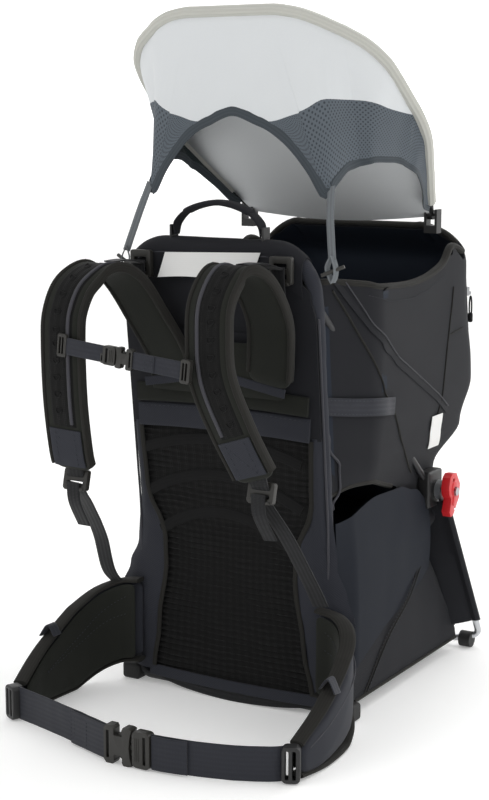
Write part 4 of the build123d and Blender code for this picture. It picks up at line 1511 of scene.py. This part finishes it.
class CARRIER_OT_storage(bpy.types.Operator):
    """Storage compartment under the seat, with its seams and corner strap"""
    bl_idname = "carrier.storage"
    bl_label = "Storage compartment"

    def execute(self, context):
        top = smooth_line([(0, y, z) for y, z in BAG_TOP], 56)
        rows = []
        for i, crest in enumerate(top):
            s = i / 55
            base = Vector((0, 34 + 337 * s, 18.5))
            sink = 5 * math.sin(math.pi * min(1, s * 1.3)) if s < 0.77 else 0.0
            ring = []
            for k in range(24):
                ring.append((2 * k / 23 - 1, 0.0))
            ring += [(1.0, v) for v in (0.06, 0.16, 0.28, 0.4, 0.52, 0.62, 0.7)]
            ring += [(math.cos(math.radians(a)), 0.7 + 0.3 * math.sin(math.radians(a)))
                     for a in (12, 24, 36, 48)]
            ring += [(x, 1.0 - 0.05 * abs(x)) for x in (0.52, 0.35, 0.15, 0, -0.15, -0.35, -0.52)]
            ring += [(-math.cos(math.radians(a)), 0.7 + 0.3 * math.sin(math.radians(a)))
                     for a in (48, 36, 24, 12)]
            ring += [(-1.0, v) for v in (0.7, 0.62, 0.52, 0.4, 0.28, 0.16, 0.06)]
            row = []
            for x, v in ring:
                spot = base.lerp(crest, v)
                half = bag_half(spot.z) - 2
                bulge = 0
                if v > 0:
                    bulge = 3 * math.sin(math.pi * s) * math.sin(math.pi * min(1, (spot.z - 18) / 190))
                spot.x = x * (half + bulge)
                if v > 0.93:
                    spot.z -= sink * (1 - abs(x))
                if 0 < v:
                    spot.x += 1.0 * ripple(spot, 46, 7) * (1 if x > 0 else -1)
                row.append(spot)
            rows.append(row)
        piece = skin("storage_bag", rows, closed=True, caps=True)
        finish_piece(piece, None, FINISH["pack"], ["storage_compartment"], angle=50)
        blend_bag(piece)
        seams = []
        for shift in (0, 9):
            points = [bag_side(y + shift, z, out) for y, z, out in
                      ((276, 178, 9), (208, 124, 7.5), (140, 80, 2), (62, 20, 0.4))]
            seams.append(cord_line(f"long_{shift}", points, 1.8, 50))
        rear_edge = ((318, 206), (338, 150), (358, 88), (370, 38))
        seams.append(cord_line("rear_edge", [bag_side(y, z, 0) for y, z in rear_edge], 3.4, 40))
        seams.append(cord_line("hem", [bag_side(y, 20, 0.6) for y in (36, 120, 220, 310, 368)], 4.5, 60))
        seams.append(cord_line("front_edge", [bag_side(30, z, 0.5) for z in (22, 40, 58, 72)], 3, 20))
        left = joined("storage_seams_left", seams)
        right = mirrored(left, "storage_seams_right")
        for seam in (left, right):
            finish_piece(seam, None, FINISH["binding"])
            blend_bag(seam)
        runs = [stitches(f"run_{shift}", [bag_side(y + shift, z, out) for y, z, out in
                                                   ((272, 176, 9.4), (204, 122, 8), (136, 78, 2.6),
                                                    (60, 22, 1.2))],
                         3.4, 2.6, 1.0) for shift in (-3, 12)]
        left = joined("storage_stitching_left", runs)
        for run in (left, mirrored(left, "storage_stitching_right")):
            finish_piece(run, None, FINISH["thread"])
            blend_bag(run)
        tab = band("rear_tab", course([(140, 366, 96), (141, 374, 100), (141, 373, 84), (140, 366, 80)],
                                      (1, 0, 0), 16), 16, 2)
        for piece in (tab, mirrored(tab, "rear_tab_right")):
            finish_piece(piece, None, FINISH["webbing_black"])
            blend_bag(piece)
        make_bag_sides()
        return {"FINISHED"}


def make_bag_sides():
    """The dark side cloth above the bag, and the cloth between the bag's rear edge and the kickstand."""
    rows = []
    for i in range(41):
        t = i / 40
        low = bag_side(14 + 280 * t, straight([(0, 50), (0.45, 98), (0.9, 132), (1, 144)], t), 0.6)
        high = Vector((159, 14 + 270 * t,
                       between([(0, 268), (0.4, 286), (0.66, 284), (0.85, 272), (1, 250)], t)))
        row = []
        for j in range(13):
            s = j / 12
            spot = low.lerp(high, s)
            spot.x += 5 * math.sin(math.pi * s) + 1.6 * ripple(spot, 50, 9) * math.sin(math.pi * s)
            spot.x = 150 + (spot.x - 150) * min(1.0, 0.25 + t * 6)
            row.append(spot)
        rows.append(row)
    left = walls(skin("storage_gusset_left", rows), 2)
    for piece in (left, mirrored(left, "storage_gusset_right")):
        outwards(piece)
        finish_piece(piece, None, FINISH["lining"])
        blend_bag(piece)
    rows = []
    for i in range(41):
        t = i / 40
        inner = bag_side(straight([(0, 298), (0.2, 310), (1, 356)], t),
                         straight([(0, 216), (0.2, 190), (1, 40)], t), -1)
        inner.x -= straight([(0, 66), (0.2, 52), (0.5, 14), (1, 8)], t)
        outer = Vector((178 + 19 * t, 305 + 84 * t, 246 - 200 * t))
        row = [inner.lerp(outer, j / 8) + Vector((3 * math.sin(math.pi * j / 8), 0, 0)) for j in range(8)]
        row += [outer + Vector((6.4 * math.cos(a), 6.4 * math.sin(a), 0)) for a in
                (math.radians(d) for d in (-60, -25, 10, 45, 80, 115, 150, 185))]
        rows.append(row)
    left = walls(skin("kickstand_cover_left", rows), 1.6)
    for piece in (left, mirrored(left, "kickstand_cover_right")):
        outwards(piece)
        finish_piece(piece, None, FINISH["pack"])
        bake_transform(piece)


def blend_bag(piece):
    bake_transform(piece)


# ---- Kickstand latches, sunshade, handle, zip ----

class CARRIER_OT_latches(bpy.types.Operator):
    """The two thumb latches on the kickstand's pins"""
    bl_idname = "carrier.latches"
    bl_label = "Kickstand latches"

    def execute(self, context):
        outline = [(-16, 22), (-8, 27), (6, 26), (10, 20), (19, 8), (17, -4), (16, -12), (9, -20), (4, -26),
                   (-4, -35), (-12, -36), (-17, -28), (-13, -18), (-11, -10), (-18, -2), (-20, 8)]
        def circle(x, z, r):
            return [(x + r * math.cos(math.tau * k / 16), z + r * math.sin(math.tau * k / 16))
                    for k in range(16)]
        body = plate("latch_left", outline, 12.5, 2.4,
                     holes=[(circle(-4, 17, 3.2), 40), (circle(2, -26, 2.2), 40)])
        rib = plate("rib", [(x * 0.55 + 1, z * 0.6) for x, z in outline], 15.5, 2)
        hub = plate("hub", circle(0, 0, 8.5), 15.5, 1.5, holes=[(circle(0, 0, 4.3), 40)])
        left = joined("latch_left", [body, rib, hub])
        place(left, (191.2, PIVOT[0], PIVOT[1]), [("Z", 90)])
        right = mirrored(left, "latch_right")
        for word, piece in (("left", left), ("right", right)):
            piece.name = f"latch_lever_{word}"
            finish_piece(piece, f"latch_{word}", FINISH["latch"], [f"release_latch_{word}"],
                         angle=35)
        return {"FINISHED"}


def hoop_point(x, v, drop=0.0, pitch=HOOP_PITCH):
    """A point on the plane that turns on the shade's pivots: x across, v forward from the pivots."""
    a = math.radians(pitch)
    return Vector((x, SHADE_PIVOT[0] - v * math.cos(a), SHADE_PIVOT[1] - drop + v * math.sin(a)))


HOOP = [(150, 0), (205, 185), (190, 340), (95, 412), (0, 412)]
SKIRT = [(149, 0), (152, 110), (150, 210), (142, 292), (0, 296)]
FRONT_ARCH = [(0, 806), (11, 804), (60, 784), (95, 755), (118, 724), (128, 702)]
SIDE_ARCH = [(14, 696), (26, 715), (52, 733), (95, 745), (150, 743), (205, 722), (245, 694), (268, 672)]
LIGHT_EDGE_FRONT = [(0, 789), (52, 789), (75, 796), (105, 806), (141, 818)]
LIGHT_EDGE_SIDE = [(-40, 820), (5, 821), (65, 819), (90, 809), (175, 794), (215, 782), (300, 740)]


def shade_outlines():
    steps = [10, 8, 8, 14]
    hoop = rounded_path(HOOP, [200, 110, 110], 8, steps)
    skirt = rounded_path(SKIRT, [200, 110, 12], 8, steps)
    return [hoop_point(p.x, p.y) for p in hoop], [hoop_point(p.x, p.y, 6, SKIRT_PITCH) for p in skirt]


FRONT_FROM = 3 * 8 + sum((10, 8, 8)) - 2        # the first column of the skirt past the front corner


def make_shade_cloth():
    hoop, skirt = shade_outlines()
    light, meshy, bottom, levels = [], [], [], []
    for j, (high, low) in enumerate(zip(hoop, skirt)):
        def at_level(z):
            t = (high.z - z) / max(high.z - low.z, 1e-6)
            spot = high.lerp(low, max(0.0, min(1.0, t)))
            return spot
        cut_z = low.z
        for _ in range(10):
            spot = at_level(cut_z)
            if j >= FRONT_FROM:
                cut_z = max(low.z, straight(FRONT_ARCH, spot.x))
            else:
                cut_z = max(low.z, straight(SIDE_ARCH, spot.y))
        split_z = cut_z
        for _ in range(10):
            spot = at_level(split_z)
            in_front = j >= FRONT_FROM
            edge = straight(LIGHT_EDGE_FRONT, spot.x) if in_front else straight(LIGHT_EDGE_SIDE, spot.y)
            split_z = max(cut_z + 0.8, min(edge, high.z - 1))
        levels.append([split_z, cut_z])
    for _ in range(4):
        inner = [sum(levels[k][0] for k in (j - 1, j, j + 1)) / 3 for j in range(1, len(levels) - 1)]
        for j, value in enumerate(inner):
            levels[j + 1][0] = max(levels[j + 1][1] + 0.8, min(value, hoop[j + 1].z - 1))
    for j, (high, low) in enumerate(zip(hoop, skirt)):
        split_z, cut_z = levels[j]

        def at_level(z):
            t = (high.z - z) / max(high.z - low.z, 1e-6)
            return high.lerp(low, max(0.0, min(1.0, t)))

        def sag(spot, t):
            fold = 1.6 * math.sin(t * math.pi) * ripple((j * 9, 0, 40 * t), 46, 8)
            fold += 1.0 * math.sin(j * 1.1) * t
            return spot + Vector((0.5 * fold, -0.6 * fold, 0))

        light.append([sag(at_level(high.z + (split_z - high.z) * i / 16), i / 16) for i in range(17)])
        meshy.append([sag(at_level(split_z + (cut_z - split_z) * i / 10), 1.0) for i in range(11)])
        bottom.append(meshy[-1][-1])
    return light, meshy, bottom


def both_sides(rows):
    return rows + [[Vector((-p.x, p.y, p.z)) for p in row] for row in reversed(rows[:-1])]


class CARRIER_OT_sunshade(bpy.types.Operator):
    """Sunshade: cloth, nets, roof, hoop sleeve, edge tapes, ties and toggles"""
    bl_idname = "carrier.sunshade"
    bl_label = "Sunshade"

    def execute(self, context):
        hoop, _ = shade_outlines()
        light, meshy, bottom = make_shade_cloth()
        rows = both_sides(light)
        piece = walls(skin("shade_front_cloth", rows), 0.9, offset=0)
        finish_piece(piece, "sunshade", FINISH["shade"], ["shade_canopy"], angle=60)
        net_rows = [row for row in meshy[1:] if row[0].x > 50 or row[0].y > 60]
        left = walls(skin("shade_net_left", net_rows), 1.0, offset=0, inner=True)
        right = mirrored(left, "shade_net_right")
        for piece in (left, right):
            # One face of each side net takes the darker copy of the net: painted shade.
            finish_piece(piece, "sunshade", FINISH["net_painted_shade"], inner=FINISH["net"],
                         angle=60)
        roof = []
        full = hoop + [Vector((-p.x, p.y, p.z)) for p in reversed(hoop[:-1])]
        for i in range(0, len(hoop)):
            a, b = hoop[i], Vector((-hoop[i].x, hoop[i].y, hoop[i].z))
            row = []
            for j in range(33):
                t = j / 32
                spot = a.lerp(b, t)
                spot.z -= 2 + 10 * math.sin(math.pi * t) * min(1.0, 2.2 * (1 - i / len(hoop)))
                row.append(spot)
            roof.append(row)
        piece = walls(skin("shade_roof_cloth", roof[:-15]), 0.9, offset=0)
        finish_piece(piece, "sunshade", FINISH["shade"], angle=60)
        tape = context.scene.carrier_sizes.hoop_tape * 1000
        sleeve = cord_line("shade_hoop_sleeve", full[2:-2:3], tape, 220)
        finish_piece(sleeve, "sunshade", FINISH["hoop_tape"])
        coat_node("shade_hoop", "plastic_black")
        coat_node("shade_sockets", "plastic_black")
        coat_node("shade_toggles", "plastic")
        arch = [bottom[j] for j in range(2, FRONT_FROM - 1, 2)]
        left = band("shade_side_tape_left", course(arch, (0, 0, 1), 90), 12, 2.6, square=3)
        front = bottom[FRONT_FROM:] + [Vector((-p.x, p.y, p.z)) for p in reversed(bottom[FRONT_FROM:-1])]
        front_tape = band("shade_front_tape", course(front[::2], (0, 0, 1), 140), 13, 2.6, square=3)
        for piece in (left, mirrored(left, "shade_side_tape_right"), front_tape):
            finish_piece(piece, "sunshade", FINISH["shade_binding"])
        corner = bottom[FRONT_FROM - 1]
        tie = [(corner.x, corner.y, corner.z + 4), (147, 4, 672), (154, -6, 640), (159, -12, 618)]
        left = band("shade_tie_left", course(tie, (1, 0, 0.2), 40), 11, 1.6, wrinkle=0.4)
        loops = []
        for k in (-1, 1):
            loops.append(band(f"loop_{k}",
                              course([(159, -12, 624), (159 + 6 * k, -14, 610), (160 + 4 * k, -13, 598),
                                                   (159, -10, 590)], (0.5, 0.86, 0), 20), 8, 1.6))
        left = joined("shade_tie_left", [left, *loops])
        for piece in (left, mirrored(left, "shade_tie_right")):
            finish_piece(piece, "sunshade", FINISH["shade_tape"], ["shade_cords"])
        return {"FINISHED"}


class CARRIER_OT_handle(bpy.types.Operator):
    """Grab handle over the top tube"""
    bl_idname = "carrier.handle"
    bl_label = "Grab handle"

    def execute(self, context):
        arch = [(-66, -28, 645), (-63, -28, 662), (-42, -28, 679), (0, -28, 688), (42, -28, 679),
                (63, -28, 662), (66, -28, 645)]
        strap = band("handle_webbing", course(arch, (0, 1, 0), 70),
                     [(0, 11), (0.1, 22), (0.9, 22), (1, 11)], 3.4, square=4)
        grip = band("handle_grip", course(arch, (0, 1, 0), 70), 25, 8, span=(0.2, 0.8), square=2.6,
                    round_end=4)
        piece = joined("handle_strap", [strap, grip])
        finish_piece(piece, "carry_handle", FINISH["pack"], ["grab_handle"], angle=60)
        return {"FINISHED"}


ZIP_TURN = 42.0


def corner_point(z, out):
    """A point off the rounded rear corner on the wearer's left."""
    share = (z - 410) / (586 - 410)
    side, rear = 177 + share * 6, 468 - share * 42
    a = math.radians(ZIP_TURN)
    return Vector((side - 72 + (60 + out) * math.sin(a), rear - 60 + (60 + out) * math.cos(a), z))


class CARRIER_OT_zip(bpy.types.Operator):
    """Zip on the rear corner, its slider and cord pull"""
    bl_idname = "carrier.zip"
    bl_label = "Zip"

    def execute(self, context):
        a = math.radians(ZIP_TURN)
        across = (math.cos(a), -math.sin(a), 0)
        steps = course([corner_point(z, 3.4) for z in (414, 470, 530, 574)], across, 60)
        tape = [band("tape", steps, 16, 1.4, square=5)]
        finish_piece(joined("zip_tape", tape), "frame", FINISH["tape"], ["zipper_track"])
        coil = [cord_line(f"coil_{k}", [corner_point(z, 4.6) + Vector(across) * k * 1.3
                                        for z in (416, 470, 530, 572)], 2.2, 90)
                for k in (-1, 1)]
        finish_piece(joined("zip_coil", coil), "frame", FINISH["plastic_black"])
        coat_node("zipper_slider", "steel")
        top = corner_point(534, 13.5)
        loop = []
        for k in range(17):
            t = math.pi * k / 16
            loop.append(top + Vector(across) * 4.2 * math.sin(t * 1.0) * (1 if k else 0)
                        + Vector((0, 0, -34 * (1 - math.cos(t)) / 2 - 2)))
        other = [2 * top - p + Vector((0, 0, 2 * (p.z - top.z))) for p in reversed(loop)]
        rope = cord_line("pull_cord", (loop + other)[::3], 2.6, 60)
        end = plate("pull_end", rounded_box(9, 15, 3.5), 5.5, 2)
        place(end, tuple(top + Vector((0, 0, -34))), [("Z", -ZIP_TURN)])
        finish_piece(joined("zip_pull_loop", [rope, end]), "zip_pull", FINISH["cord"],
                     ["zipper_pull"])
        return {"FINISHED"}


# ---- Stage ----

CAMERA_PLACE = (1.152, -1.980, 0.800)
CAMERA_HEADING = 31.0
CAMERA_PITCH = 9.7
CAMERA_LENS = 74.97


def paper(name, colour, glow):
    """Matt studio paper with some light of its own, so that the background stays white."""
    def draw(tree, tint):
        coords = add(tree, "TexCoord").outputs["Object"]
        return None, dirt(tree, coords, tint, 0.004, 0.5).outputs[2]
    return surface(name, linear(colour), 0.9, draw, Emission_Color=(1, 1, 1, 1), Emission_Strength=glow)


class CARRIER_OT_stage(bpy.types.Operator):
    """Camera, soft lights and a pale sweep under and behind the carrier"""
    bl_idname = "carrier.stage"
    bl_label = "Studio"

    def execute(self, context):
        scene = context.scene
        scene.view_settings.view_transform = "Standard"
        lens = bpy.data.cameras.new("camera")
        lens.lens, lens.sensor_width = CAMERA_LENS, 36.0
        camera = bpy.data.objects.new("camera", lens)
        scene.collection.objects.link(camera)
        camera.location = CAMERA_PLACE
        heading, pitch = math.radians(CAMERA_HEADING), math.radians(CAMERA_PITCH)
        way = Vector((-math.sin(heading) * math.cos(pitch), math.cos(heading) * math.cos(pitch),
                      -math.sin(pitch)))
        camera.rotation_euler = way.to_track_quat("-Z", "Y").to_euler()
        scene.camera = camera
        world = bpy.data.worlds.new("studio")
        world.use_nodes = True
        world.node_tree.nodes["Background"].inputs["Color"].default_value = (1, 1, 1, 1)
        world.node_tree.nodes["Background"].inputs["Strength"].default_value = 0.55
        scene.world = world
        for name, spot, size, power in (("key", (-1.6, -2.6, 2.6), 2.2, 26),
                                        ("side", (3.0, -0.6, 1.8), 2.0, 15),
                                        ("top", (0.2, 0.6, 3.2), 2.6, 24),
                                        ("back", (0.5, 3.0, 1.8), 2.4, 14)):
            lamp = bpy.data.lights.new(name, "AREA")
            lamp.size, lamp.energy = size, power
            light = bpy.data.objects.new(name, lamp)
            scene.collection.objects.link(light)
            light.location = spot
            light.rotation_euler = (Vector((0, 0, 0.4)) - Vector(spot)).to_track_quat("-Z", "Y").to_euler()
        bpy.ops.mesh.primitive_plane_add(size=60, location=(0, 0, 0))
        floor = context.active_object
        floor.name = "studio_floor"
        floor.data.materials.append(paper("white_paper_floor", "#f4f4f3", 0.22))
        bpy.ops.mesh.primitive_plane_add(size=60, location=(0, 12, 0), rotation=(math.radians(90), 0, 0))
        wall = context.active_object
        wall.name = "studio_wall"
        wall.data.materials.append(paper("lit_paper_backdrop", "#ffffff", 0.7))
        return {"FINISHED"}


OPERATORS = (
    CARRIER_OT_stage, CARRIER_OT_frame, CARRIER_OT_back, CARRIER_OT_harness, CARRIER_OT_sternum,
    CARRIER_OT_hip_belt, CARRIER_OT_cockpit, CARRIER_OT_seat, CARRIER_OT_storage, CARRIER_OT_latches,
    CARRIER_OT_sunshade, CARRIER_OT_handle, CARRIER_OT_zip)


class CARRIER_PT_panel(bpy.types.Panel):
    """Buttons for every group of pieces, with the sizes and colours above them"""
    bl_idname = "CARRIER_PT_panel"
    bl_label = "Child Carrier"
    bl_space_type = "VIEW_3D"
    bl_region_type = "UI"
    bl_category = "Child Carrier"

    def draw(self, context):
        layout = self.layout
        for group in (context.scene.carrier_sizes, context.scene.carrier_colours):
            for name in group.__annotations__:
                layout.prop(group, name)
        for operator in OPERATORS:
            layout.operator(operator.bl_idname)


def register():
    for part in (CarrierSizes, CarrierColours, *OPERATORS, CARRIER_PT_panel):
        bpy.utils.register_class(part)
    bpy.types.Scene.carrier_sizes = bpy.props.PointerProperty(type=CarrierSizes)
    bpy.types.Scene.carrier_colours = bpy.props.PointerProperty(type=CarrierColours)


def unregister():
    del bpy.types.Scene.carrier_colours
    del bpy.types.Scene.carrier_sizes
    for part in reversed((CarrierSizes, CarrierColours, *OPERATORS, CARRIER_PT_panel)):
        bpy.utils.unregister_class(part)


def main():
    register()
    FINISH.update(make_materials(bpy.context.scene.carrier_colours))
    for operator in OPERATORS:
        group, name = operator.bl_idname.split(".")
        getattr(getattr(bpy.ops, group), name)()


if __name__ == "__main__":
    main()
